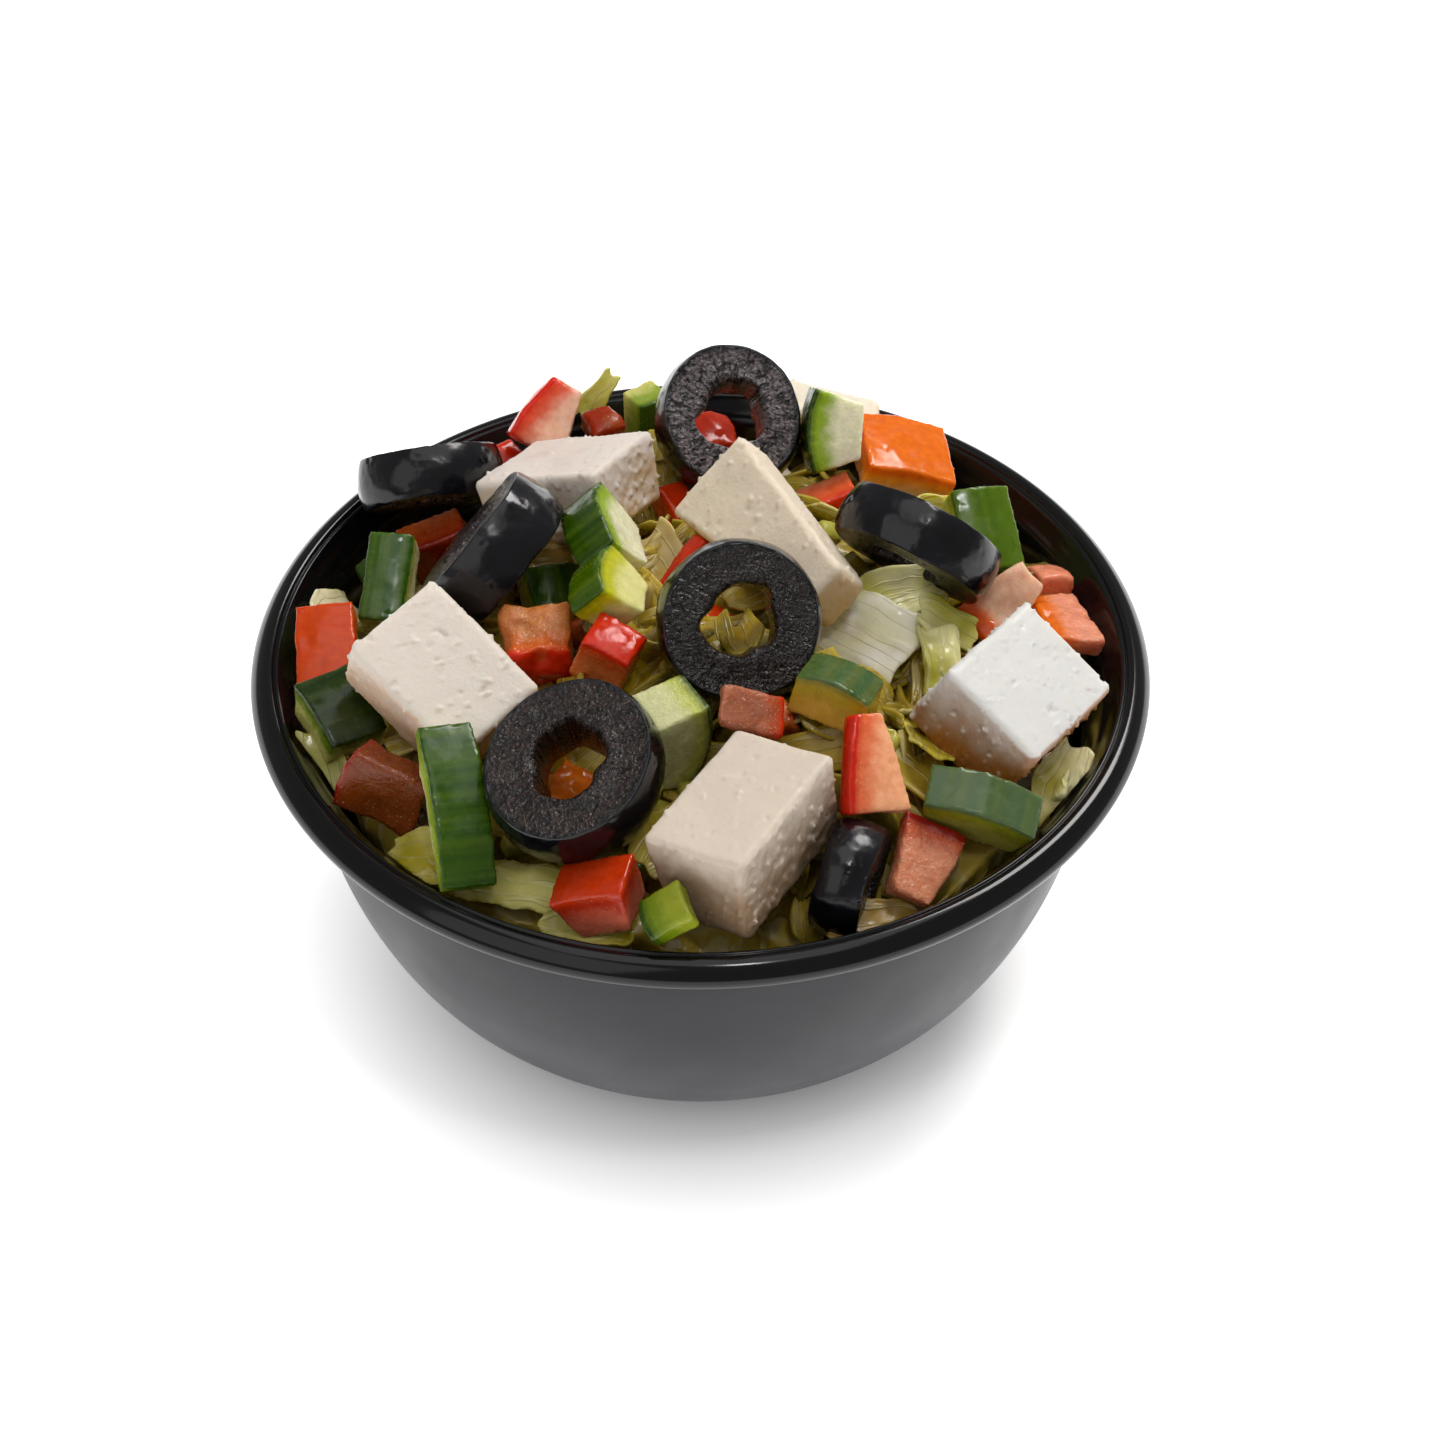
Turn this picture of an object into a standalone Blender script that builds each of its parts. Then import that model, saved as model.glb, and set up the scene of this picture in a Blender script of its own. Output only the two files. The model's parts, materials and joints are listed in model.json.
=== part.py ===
"""A greek salad in its black bowl.

The bowl is a turned shell with a rolled lip and a low foot ring. A bed of shredded lettuce fills it
and heaps over the rim. On the bed lie diced feta, cucumber and tomato, slices of black olive and a
few larger lettuce leaves. Each piece as large as a berry is a solid of its own.

Lengths are in millimetres and become metres where a mesh is made. Turns are XYZ angles in degrees.
The frame stands on the floor at the middle of the foot, with +Z up and +Y to the back.
"""
import math

import bmesh
import bpy
from mathutils import Vector, noise
from mathutils.bvhtree import BVHTree

MM = 0.001
GAP = 0.35                # clearance between solids that touch

# Bowl
BOWL_RADIUS = 60.0        # outermost edge of the lip
BOWL_HEIGHT = 52.0        # crest of the lip
WALL = 2.2
WALL_TOP = 46.5           # where the wall meets the underside of the lip
WALL_TOP_RADIUS = 53.8
WALL_ROUNDNESS = 1.98     # 2 is a quarter ellipse, less is straighter
FOOT_RADIUS = 26.0
FOOT_RING_WIDTH = 4.0
FOOT_HEIGHT = 1.2
FLOOR = 4.0               # top of the bowl's floor
FLOOR_RISE = 0.2          # how much higher the floor is at its edge
BOWL_STEPS = 48

# Olive slices
OLIVE_HOLE = 4.9          # radius of the stone's hole
OLIVE_ROUNDING = 1.3      # how far the cut faces are smaller than the middle
OLIVE_STEPS = 16

# Bed of shredded lettuce
BED_RINGS = 22
BED_STEPS = 60
BED_CROWN = 62.0          # height at the middle
BED_SHOULDER = 44.0       # mean height where it meets the wall
BED_UNEVEN = 3.0          # rise and fall of that edge
BED_RELIEF = 1.5          # rise and fall of the surface
BED_GRAIN = 9.0           # distance over which it rises and falls
BED_GAP = 0.7             # clearance under the pieces that lie on it
BED_PROBES = 3            # half steps looked at on each side of a point of the bed

# Feta: size, place of the middle, turn
FETA = {
    "feta_back_left": ((20, 17, 10), (-17.7, 23.8, 59.8), (-14, -22, -23)),
    "feta_middle": ((27, 14, 8), (10, 7.8, 64.3), (39, 4, -55)),
    "feta_left": ((20, 15, 11), (-33.2, -17.1, 61), (16, 26, -39)),
    "feta_front": ((15, 22, 13), (6, -42, 58), (4, -10, -33)),
    "feta_right": ((16, 19, 12), (40, -17, 57.5), (-4, 28, -38)),
    "feta_back": ((14, 8, 6), (17.8, 46.2, 55.1), (0, 8, -8)),
}

# Olive slices: place of the middle, radius, thickness, stretch of a slantwise cut, lean of the
# axis from upright, and the way it leans
OLIVES = {
    "olive_back": ((3.7, 36.5, 62), 10.2, 8, 1.04, 40, -75),
    "olive_middle": ((5, -12, 67), 10.7, 8, 1.0, 48, -85),
    "olive_front": ((-15.5, -35, 62), 11.0, 8, 1.08, 24, -120),
    "olive_rim": ((-37.5, 29.5, 57.5), 10.2, 7, 1.0, 44, 102),
    "olive_left": ((-27.5, 4.5, 65), 11.2, 8, 1.0, 55, 160),
    "olive_right": ((29, 9.2, 62.7), 11.4, 7, 1.0, 54, 55),
    "olive_low": ((18.8, -42.3, 50.5), 7.9, 6.2, 1.0, 96, -18),
}

# Cucumber: size, place, turn, side with the skin, bulge of the skin
CUCUMBER = {
    "cucumber_01": ((6, 12.5, 8), (-42.2, 11.1, 53.8), (33, 2, -7), "+z", 0.5),
    "cucumber_02": ((11, 8, 7), (-47, -14.5, 53), (0, 18, -58), "+z", 1.0),
    "cucumber_03": ((21, 7, 4.5), (-30.2, -37.4, 58.5), (9, -34, 102), "+z", 2.0),
    "cucumber_04": ((15, 6, 10), (-13, 6.5, 66), (38, -7, -82), "+z", 2.5),
    "cucumber_05": ((10, 6, 8.5), (-12, -6.6, 67.5), (47, -3, -96), "+z", 1.5),
    "cucumber_06": ((10, 7, 6.5), (17.5, -21.9, 63.6), (-13, 8, -24), "+z", 1.0),
    "cucumber_07": ((15, 6, 8), (35.5, -33, 54), (20, 15, -9), "+z", 2.0),
    "cucumber_08": ((8, 12, 6), (18, 35.5, 61.1), (56, 6, 6), "-x", 1.2),
    "cucumber_09": ((8.5, 12, 6), (38.8, 21.6, 54), (34, 8, 20), "+z", 0.8),
    "cucumber_10": ((9, 14, 7), (-4, -24, 58), (95, 8, 32), "+x", 1.5),
    "cucumber_11": ((6.2, 5.6, 3), (-3.8, -53.8, 55.8), (18, -30, 10), "-x", 0.4),
    "cucumber_12": ((5, 7, 5), (-7.8, 48, 54.5), (90, 0, 38), "+z", 0.5),
    "cucumber_13": ((5, 5, 5), (25, 5, 52.6), (30, 20, 40), "+z", 0.5),
    "cucumber_14": ((8, 7, 6), (-19.5, 6, 56), (30, 10, 20), "+z", 0.6),
    "cucumber_15": ((6, 6, 5), (-7.5, -38, 51), (20, 10, 40), "+z", 0.5),
    "cucumber_16": ((5, 6, 4.5), (-44, 18.6, 48.5), (10, -20, 25), "+z", 0.4),
}

# Tomato: size, place, turn, side with the skin, bulge of the skin
TOMATO = {
    "tomato_01": ((9, 10, 6), (-21.5, 41.3, 59.3), (45, 23, -17), "-x", 0.8),
    "tomato_02": ((8, 13, 4), (-49.8, -1.5, 52.5), (20, -7, 2), "+z", 0.6),
    "tomato_03": ((12, 9, 4.5), (-40.5, -27.5, 52.5), (80, 18, -18), "-x", 0.8),
    "tomato_04": ((9, 9, 8), (-21.1, -8.9, 59.8), (16, 0, 5), "-y", 0.8),
    "tomato_05": ((7, 6, 8), (-11.7, -14.5, 63.6), (6, 18, -24), "+z", 0.6),
    "tomato_06": ((10, 5.4, 2.6), (6.4, -26.1, 63.9), (35, 30, 14), "+x", 0.6),
    "tomato_07": ((9, 12.4, 3.4), (21, -32.8, 61.3), (44, 11, 19), "-x", 0.8),
    "tomato_08": ((9, 11, 3), (28.1, -39.3, 50.6), (24, 26, -11), "+y", 0.6),
    "tomato_09": ((10.5, 7, 7), (-12, -48.5, 53.8), (5, -25, -17), "+z", 0.6),
    "tomato_10": ((13, 12, 5), (28.2, 36.8, 55.8), (4, 18, 8), "+z", 0.8),
    "tomato_11": ((8, 6, 5), (18, 29.3, 52.8), (94, -16, 17), "+z", 0.6),
    "tomato_12": ((9, 11.5, 3), (40.8, 7.6, 53), (38, 31, -33), "-y", 0.8),
    "tomato_13": ((12, 7.4, 4.2), (49, 6.4, 50.6), (-5, -8, -77), "+z", 0.8),
    "tomato_14": ((3, 8.5, 6), (-1, 9, 58), (42, -8, -60), "+z", 0.4),
    "tomato_15": ((4.5, 6, 4.5), (-3.5, 28, 53.4), (20, 10, 30), "+z", 0.4),
    "tomato_16": ((9, 8, 5), (-36, 22, 51), (98, -18, 15), "+z", 0.5),
    "tomato_17": ((6, 9, 5), (-17, -30, 53), (-10, 27, -22), "+z", 0.5),
    "tomato_18": ((5, 5, 5), (-14, 44, 55), (20, 0, 30), "+z", 0.4),
    "tomato_19": ((5, 6, 5), (0.5, 0, 56), (10, 10, 60), "+z", 0.4),
    "tomato_20": ((7, 7, 6), (-28, 39, 50.5), (25, -10, 38), "+z", 0.6),
    "tomato_21": ((5, 5, 4), (47.6, 15.4, 50.4), (-15, 15, 20), "+z", 0.4),
    "tomato_22": ((7, 6, 6), (1, 48.2, 49.5), (15, 10, 20), "+z", 0.5),
}

# Pieces cut to a wedge: the end they narrow towards, the axis that narrows, and how much is left
WEDGES = {
    "tomato_09": ("-z", "x", 0.7),
    "feta_back_left": ("-z", "x", 0.85),
    "feta_front": ("-z", "x", 0.8),
    "feta_middle": ("+x", "y", 0.55),
    "feta_back": ("+x", "y", 0.7),
    "cucumber_02": ("-z", "x", 0.8),
    "cucumber_04": ("-z", "x", 0.6),
    "cucumber_05": ("-z", "x", 0.6),
    "cucumber_07": ("-z", "x", 0.8),
    "cucumber_08": ("+x", "y", 0.65),
    "cucumber_10": ("-x", "y", 0.8),
    "tomato_01": ("+y", "x", 0.6),
    "tomato_03": ("-z", "x", 0.8),
    "tomato_06": ("-z", "x", 0.8),
    "tomato_07": ("+y", "x", 0.5),
    "tomato_08": ("-y", "x", 0.6),
    "tomato_12": ("+y", "x", 0.5),
    "tomato_13": ("-z", "x", 0.8),
}

# Large lettuce leaves: size, place, turn, curl (height of the middle over the long edges)
LETTUCE = {
    "lettuce_01": ((18, 15), (19.4, -1.0, 54.7), (28, 12, -30), 2.5),
    "lettuce_02": ((14, 6), (-24, -41.5, 49), (20, -10, -20), 1.0),
    "lettuce_03": ((5, 8), (46.7, -22.8, 48.5), (0, -50, -26), 1.0),
    "lettuce_04": ((5, 10), (31.8, -5.6, 54.8), (30, 10, 10), 1.0),
    "lettuce_05": ((7, 7), (-47.2, 6.2, 46.3), (10, 20, 20), 1.0),
    "lettuce_06": ((8, 7), (35.5, 30.5, 50.2), (-15, 25, 40), 1.5),
}
LEAF_THICKNESS = 1.2


def material(name, colour, roughness, metallic=0.0):
    """Return a Principled material."""
    mat = bpy.data.materials.new(name)
    mat.use_nodes = True
    shader = mat.node_tree.nodes["Principled BSDF"]
    shader.inputs["Base Color"].default_value = (*colour, 1.0)
    shader.inputs["Roughness"].default_value = roughness
    shader.inputs["Metallic"].default_value = metallic
    mat.diffuse_color = (*colour, 1.0)
    return mat


def add_part(name, mesh, mat, place=(0, 0, 0), turn=(0, 0, 0)):
    """Put a mesh into the salad's collection as one named solid."""
    obj = bpy.data.objects.new(name, mesh)
    obj.data.materials.append(mat)
    obj.location = Vector(place) * MM
    obj.rotation_euler = [math.radians(angle) for angle in turn]
    salad.objects.link(obj)
    return obj


def turned(name, profile, steps, mat, place=(0, 0, 0), turn=(0, 0, 0)):
    """Turn a profile of (radius, height) points about the upright axis with a Screw modifier."""
    mesh = bpy.data.meshes.new(name)
    points = [(radius * MM, 0, height * MM) for radius, height in profile]
    open_ends = profile[0][0] == 0
    count = len(points)
    edges = [(i, (i + 1) % count) for i in range(count - 1 if open_ends else count)]
    mesh.from_pydata(points, edges, [])
    obj = add_part(name, mesh, mat, place, turn)
    screw = obj.modifiers.new("Turn", "SCREW")
    screw.steps = steps
    screw.render_steps = steps
    screw.use_merge_vertices = True
    screw.merge_threshold = 0.00001
    return obj


def wall_radius(height):
    """Outer radius of the bowl's wall at a height."""
    rise = min(height / WALL_TOP, 1.0)
    swell = (1 - (1 - rise) ** WALL_ROUNDNESS) ** (1 / WALL_ROUNDNESS)
    return FOOT_RADIUS + (WALL_TOP_RADIUS - FOOT_RADIUS) * swell


def inner_radius(height):
    """Radius of the bowl's hollow at a height."""
    return wall_radius(height) - WALL


def bowl_profile():
    """Half section of the bowl, up the inside, over the lip and down the outside."""
    inside = [(0, FLOOR), (18, FLOOR + FLOOR_RISE)]
    inside += [(inner_radius(z), z) for z in (5.5, 9, 15, 23, 33, 43)]
    lip = [(53.6, 48), (55.4, 50.6), (57.0, BOWL_HEIGHT), (58.7, 51.7), (BOWL_RADIUS, 50.2),
           (59.6, 48.5), (57.2, 47.4), (WALL_TOP_RADIUS, WALL_TOP)]
    outside = [(wall_radius(z), z) for z in (38, 28, 18, 11, 6, 2.5, 0.7)]
    ring = [(FOOT_RADIUS - 0.6, 0), (FOOT_RADIUS - FOOT_RING_WIDTH, 0),
            (FOOT_RADIUS - FOOT_RING_WIDTH - 1, FOOT_HEIGHT), (0, FOOT_HEIGHT)]
    return inside + lip + outside + ring


def olive_slice(name, place, radius, thickness, stretch, lean, way, mat):
    """One slice across an olive: a barrel-shaped skin round a straight hole."""
    half = thickness / 2
    skin = [(radius - OLIVE_ROUNDING * t * t, half * t) for t in (1, 0.5, 0, -0.5, -1)]
    section = skin + [(OLIVE_HOLE, -half), (OLIVE_HOLE, half)]
    obj = turned(name, section, OLIVE_STEPS, mat, place, (0, lean, way))
    obj.scale.x = stretch
    return obj


def block_mesh(name, size, cuts):
    """A box cut into strips along some axes, scaled to its size and narrowed if it is a wedge."""
    bm = bmesh.new()
    bmesh.ops.create_cube(bm, size=1.0)
    for axis, count in enumerate(cuts):
        if count:
            along = [e for e in bm.edges if abs((e.verts[0].co - e.verts[1].co)[axis]) > 1e-6]
            bmesh.ops.subdivide_edges(bm, edges=along, cuts=count, use_grid_fill=True)
    bmesh.ops.scale(bm, vec=Vector(size) * MM, verts=bm.verts)
    if name in WEDGES:
        end, thin, left = WEDGES[name]
        deep, thin = "xyz".index(end[1]), "xyz".index(thin)
        sign = 1 if end[0] == "+" else -1
        for vert in bm.verts:
            near_end = 0.5 + sign * vert.co[deep] / (size[deep] * MM)
            vert.co[thin] *= 1 - (1 - left) * near_end
    return bm, bpy.data.meshes.new(name)


def finish_mesh(bm, mesh):
    """Write a bmesh into its mesh with its faces pointing out."""
    bmesh.ops.recalc_face_normals(bm, faces=bm.faces)
    bm.to_mesh(mesh)
    bm.free()
    return mesh


def chunk(name, size, place, turn, skin, bulge, mat, round_both_ways):
    """A cut chunk with one curved skin side and flat cut sides.

    Cucumber skin curves one way, like a cylinder. Tomato skin curves both ways, like a ball.
    """
    deep = "xyz".index(skin[1])
    sign = 1 if skin[0] == "+" else -1
    across = [axis for axis in range(3) if axis != deep]
    curved = across if round_both_ways else across[:1]
    cuts = [0, 0, 0]
    for axis in curved:
        cuts[axis] = 2 if round_both_ways else 3
    bm, mesh = block_mesh(name, size, cuts)
    half = Vector(size) * MM / 2
    for vert in bm.verts:
        drop = sum((vert.co[axis] / half[axis]) ** 2 for axis in curved) / len(curved)
        if vert.co[deep] * sign > 0:
            vert.co[deep] -= sign * bulge * MM * drop
    return add_part(name, finish_mesh(bm, mesh), mat, place, turn)


def feta_block(name, size, place, turn, mat):
    """A block of feta with slightly broken edges."""
    bm, mesh = block_mesh(name, size, (0, 0, 0))
    obj = add_part(name, finish_mesh(bm, mesh), mat, place, turn)
    bevel = obj.modifiers.new("Worn edges", "BEVEL")
    bevel.width = 0.6 * MM
    bevel.segments = 1
    return obj


def lettuce_leaf(name, size, place, turn, curl, mat):
    """A piece of lettuce leaf: a curled sheet given its thickness by a Solidify modifier."""
    bm = bmesh.new()
    bmesh.ops.create_grid(bm, x_segments=4, y_segments=3, size=0.5)
    bmesh.ops.scale(bm, vec=Vector((*size, 1)) * MM, verts=bm.verts)
    for vert in bm.verts:
        u, v = 2 * vert.co.x / (size[0] * MM), 2 * vert.co.y / (size[1] * MM)
        vert.co.z = curl * MM * (0.5 - v * v + 0.3 * math.sin(3 * u))
    mesh = bpy.data.meshes.new(name)
    bm.to_mesh(mesh)
    bm.free()
    obj = add_part(name, mesh, mat, place, turn)
    thicken = obj.modifiers.new("Thickness", "SOLIDIFY")
    thicken.thickness = LEAF_THICKNESS * MM
    thicken.offset = 0
    return obj


def solid_tree(objects):
    """One search tree over the finished faces of some objects."""
    bpy.context.view_layer.update()
    graph = bpy.context.evaluated_depsgraph_get()
    verts, faces = [], []
    for obj in objects:
        shape = obj.evaluated_get(graph)
        mesh = shape.to_mesh()
        start = len(verts)
        verts += [obj.matrix_world @ v.co for v in mesh.vertices]
        faces += [[start + i for i in poly.vertices] for poly in mesh.polygons]
        shape.to_mesh_clear()
    return BVHTree.FromPolygons(verts, faces)


def bed_level(x, y):
    """Free height of the lettuce at a place: a low dome with an uneven edge."""
    reach = min(math.hypot(x, y) / inner_radius(WALL_TOP), 1.0)
    angle = math.atan2(y, x)
    edge = BED_SHOULDER + BED_UNEVEN * math.sin(3 * angle + 0.6) * math.sin(2 * angle)
    dome = edge + (BED_CROWN - edge) * (1 - reach ** 2) ** 0.8
    return dome + BED_RELIEF * noise.noise(Vector((x, y, 0)) / BED_GRAIN)


def lettuce_bed(pieces, mat):
    """The heap of lettuce: it fills the bowl and stays under every piece that lies on it."""
    under = solid_tree(pieces)
    floor = FLOOR + FLOOR_RISE + GAP
    walls = [(inner_radius(z) - GAP, z) for z in (6.5, 12, 20, 30)]
    edge = inner_radius(BED_SHOULDER) - BED_GAP
    top = [(edge * (BED_RINGS - i) / BED_RINGS, BED_SHOULDER) for i in range(BED_RINGS)]
    profile = [(0, BED_SHOULDER)] + top[::-1] + walls[::-1] + [(0, floor)]
    draft = turned("bed_draft", profile, BED_STEPS, mat)
    bpy.context.view_layer.update()
    graph = bpy.context.evaluated_depsgraph_get()
    mesh = bpy.data.meshes.new_from_object(draft.evaluated_get(graph))
    bpy.data.objects.remove(draft)
    ring = edge / BED_RINGS
    surface = [vert for vert in mesh.vertices if vert.co.z > (BED_SHOULDER - 1) * MM]
    for vert in surface:
        x, y = vert.co.x / MM, vert.co.y / MM
        radius = math.hypot(x, y)
        side = max(2 * math.pi * radius / BED_STEPS, 1.0)
        level = bed_level(x, y)
        out = Vector((x, y, 0)).normalized() if radius > 0.1 else Vector((1, 0, 0))
        aside = Vector((-out.y, out.x, 0))
        for i in range(-BED_PROBES, BED_PROBES + 1):
            for j in range(-BED_PROBES, BED_PROBES + 1):
                step = out * ring * i / 2 + aside * side * j / 2
                start = (Vector((x, y, 0)) + step) * MM
                underside = under.ray_cast(start, Vector((0, 0, 1)))[0]
                if underside is not None:
                    level = min(level, underside.z / MM - BED_GAP)
        vert.co.z = level * MM
    mesh.name = "salad_bed"
    return add_part("salad_bed", mesh, mat)


for old in list(bpy.data.objects):
    bpy.data.objects.remove(old)
salad = bpy.data.collections.new("greek_salad")
bpy.context.scene.collection.children.link(salad)

black = material("black_enamel", (0.02, 0.02, 0.022), 0.25)
olive = material("olive_flesh", (0.02, 0.012, 0.01), 0.4)
cheese = material("feta_cheese", (0.82, 0.76, 0.68), 0.6)
green = material("cucumber_flesh", (0.25, 0.38, 0.08), 0.4)
red = material("tomato_flesh", (0.7, 0.14, 0.05), 0.35)
leaf = material("lettuce_leaf", (0.62, 0.64, 0.3), 0.5)

turned("bowl", bowl_profile(), BOWL_STEPS, black)
food = []
for name, (place, radius, thickness, stretch, lean, way) in OLIVES.items():
    food.append(olive_slice(name, place, radius, thickness, stretch, lean, way, olive))
for name, (size, place, turn) in FETA.items():
    food.append(feta_block(name, size, place, turn, cheese))
for name, (size, place, turn, skin, bulge) in CUCUMBER.items():
    food.append(chunk(name, size, place, turn, skin, bulge, green, False))
for name, (size, place, turn, skin, bulge) in TOMATO.items():
    food.append(chunk(name, size, place, turn, skin, bulge, red, True))
for name, (size, place, turn, curl) in LETTUCE.items():
    food.append(lettuce_leaf(name, size, place, turn, curl, leaf))
lettuce_bed(food, leaf)
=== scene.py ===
# %% [markdown]
# # A greek salad in its black bowl
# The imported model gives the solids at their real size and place: a bowl, a bed of lettuce, and
# diced feta, cucumber and tomato, olive slices and leaves. Here each of them gets its looks. A cut
# chunk of food is a plain block only from far away. Near by its edges are soft, its faces wander,
# and its skin, rind and flesh lie in layers. So each block is meshed again finely, roughened by
# Geometry Nodes, and told how deep every point lies under the skin, so that one material can
# paint the layers.

import json
import math

import bmesh
import bpy
import numpy as np
from mathutils import Euler, Matrix, Vector
from mathutils.bvhtree import BVHTree

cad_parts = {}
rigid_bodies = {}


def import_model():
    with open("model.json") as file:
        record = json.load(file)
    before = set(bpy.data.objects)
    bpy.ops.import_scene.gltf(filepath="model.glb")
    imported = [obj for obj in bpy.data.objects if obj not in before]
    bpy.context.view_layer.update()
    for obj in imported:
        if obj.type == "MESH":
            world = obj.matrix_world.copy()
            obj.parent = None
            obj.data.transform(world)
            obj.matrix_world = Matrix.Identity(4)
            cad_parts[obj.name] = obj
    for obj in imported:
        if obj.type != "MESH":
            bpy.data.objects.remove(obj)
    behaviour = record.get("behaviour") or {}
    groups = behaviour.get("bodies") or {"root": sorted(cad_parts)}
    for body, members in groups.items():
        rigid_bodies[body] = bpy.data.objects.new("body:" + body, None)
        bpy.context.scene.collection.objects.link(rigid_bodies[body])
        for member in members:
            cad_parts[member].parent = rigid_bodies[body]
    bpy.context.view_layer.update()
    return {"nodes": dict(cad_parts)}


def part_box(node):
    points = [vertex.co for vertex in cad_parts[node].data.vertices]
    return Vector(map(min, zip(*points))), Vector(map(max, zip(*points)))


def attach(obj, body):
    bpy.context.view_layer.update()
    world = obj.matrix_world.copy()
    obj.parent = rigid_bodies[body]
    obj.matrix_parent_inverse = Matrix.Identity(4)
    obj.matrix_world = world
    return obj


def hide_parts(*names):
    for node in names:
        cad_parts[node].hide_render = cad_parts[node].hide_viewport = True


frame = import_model()
MM = 0.001

# %% [markdown]
# ## Camera, floor and light
# The salad is looked at from above the table's edge, about 42 degrees down, through a long lens,
# which keeps the bowl's ellipse calm. The floor is plain and pale. The light is a soft studio
# light from behind on the right, with a broad weak fill from the front, a soft light from above
# and a small one for glints. The room is dim, so that the bowl's lip stays dark between its
# highlights.

# %% Camera
TARGET = Vector((0.0026, 0.0, 0.039))
DISTANCE = 0.5
ELEVATION = math.radians(42.2)
back_off = Vector((0, -math.cos(ELEVATION), math.sin(ELEVATION)))
camera = bpy.data.objects.new("Camera", bpy.data.cameras.new("Camera"))
camera.data.lens = 92.0
camera.data.sensor_width = 36.0
camera.location = TARGET + back_off * DISTANCE
camera.rotation_euler = (-back_off).to_track_quat("-Z", "Y").to_euler()
bpy.context.scene.collection.objects.link(camera)
bpy.context.scene.camera = camera
bpy.context.scene.view_settings.view_transform = "Standard"
print("camera at", [round(v, 3) for v in camera.location])


# %% Lights
def area_light(name, place, size, watts, colour=(1.0, 1.0, 1.0)):
    """A soft square light that looks at the salad."""
    data = bpy.data.lights.new(name, "AREA")
    data.shape = "SQUARE"
    data.size = size
    data.energy = watts
    data.color = colour
    light = bpy.data.objects.new(name, data)
    light.location = place
    light.rotation_euler = (TARGET - Vector(place)).to_track_quat("-Z", "Y").to_euler()
    bpy.context.scene.collection.objects.link(light)
    return light


area_light("Key light", (0.35, 0.45, 0.75), 0.36, 5.3, (1.0, 0.98, 0.95))
area_light("Fill light", (-0.6, -0.7, 0.7), 0.9, 2.1)
area_light("Top light", (0.0, 0.0, 1.0), 0.8, 2.3)
area_light("Glint light", (0.1, -0.35, 0.9), 0.08, 0.8)
world = bpy.data.worlds.new("Dim room")
world.use_nodes = True
world.node_tree.nodes["Background"].inputs["Color"].default_value = (1, 1, 1, 1)
world.node_tree.nodes["Background"].inputs["Strength"].default_value = 0.25
bpy.context.scene.world = world

# %% [markdown]
# ## Building node trees
# Shader trees and geometry trees are built alike. One helper adds a node, sets its properties and
# fills its inputs, either with a value or with a link from another node's output. The rest of the
# script then reads almost like a formula.


# %% Helpers for node trees
def add(tree, kind, inputs=None, **settings):
    """Add a node, set its properties, and fill its inputs with values or other nodes' outputs."""
    new = tree.nodes.new(kind)
    for key, value in settings.items():
        setattr(new, key, value)
    for key, value in (inputs or {}).items():
        if isinstance(value, bpy.types.NodeSocket):
            tree.links.new(value, new.inputs[key])
        else:
            new.inputs[key].default_value = value
    return new


def maths(tree, operation, *values, clamp=False):
    """A Math node's output. It takes numbers and sockets alike."""
    return add(tree, "ShaderNodeMath", dict(enumerate(values)), operation=operation,
               use_clamp=clamp).outputs[0]


def vector_maths(tree, operation, *values):
    """A Vector Math node's vector output. SCALE takes its factor as a second value."""
    inputs = {0: values[0], "Scale": values[1]} if operation == "SCALE" else dict(enumerate(values))
    return add(tree, "ShaderNodeVectorMath", inputs, operation=operation).outputs[0]


def new_group(name, kind, inputs, outputs):
    """A node group with named inputs and outputs, and its two end nodes."""
    group = bpy.data.node_groups.new(name, kind)
    for label, (socket_type, value) in inputs.items():
        socket = group.interface.new_socket(label, in_out="INPUT", socket_type=socket_type)
        if value is not None:
            socket.default_value = value
    for label, socket_type in outputs.items():
        group.interface.new_socket(label, in_out="OUTPUT", socket_type=socket_type)
    return group, group.nodes.new("NodeGroupInput"), group.nodes.new("NodeGroupOutput")


FLOAT = "NodeSocketFloat"
INTEGER = "NodeSocketInt"
VECTOR = "NodeSocketVector"
COLOUR = "NodeSocketColor"
GEOMETRY = "NodeSocketGeometry"
MATERIAL = "NodeSocketMaterial"


def display(red, green, blue):
    """A colour as a screen shows it, 0 to 255, turned into the linear light that shaders use."""
    def linear(value):
        value = value / 255
        return value / 12.92 if value <= 0.04045 else ((value + 0.055) / 1.055) ** 2.4
    return (linear(red), linear(green), linear(blue), 1.0)


def apply_tree(obj, tree, settings):
    """Put a geometry tree on an object and set its named inputs by their identifiers."""
    modifier = obj.modifiers.new(tree.name, "NODES")
    modifier.node_group = tree
    for socket in tree.interface.items_tree:
        if socket.in_out == "INPUT" and socket.name in settings:
            modifier[socket.identifier] = settings[socket.name]
    return modifier


def plain_mesh(obj):
    """Replace an object's data by what its modifiers make, as one plain mesh."""
    bpy.context.view_layer.update()
    graph = bpy.context.evaluated_depsgraph_get()
    mesh = bpy.data.meshes.new_from_object(obj.evaluated_get(graph))
    mesh.name = obj.name
    obj.modifiers.clear()
    if obj.type == "MESH":
        obj.data = mesh
        return obj
    solid = bpy.data.objects.new(obj.name + "_solid", mesh)
    bpy.context.scene.collection.objects.link(solid)
    name = obj.name
    bpy.data.objects.remove(obj)
    solid.name = name
    return solid


def show(obj, slot, *nodes):
    """Attach a finished piece to the root body and hide the solids it stands for. The slot is not used."""
    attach(obj, "root")
    if nodes:
        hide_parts(*nodes)
    return obj


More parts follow.
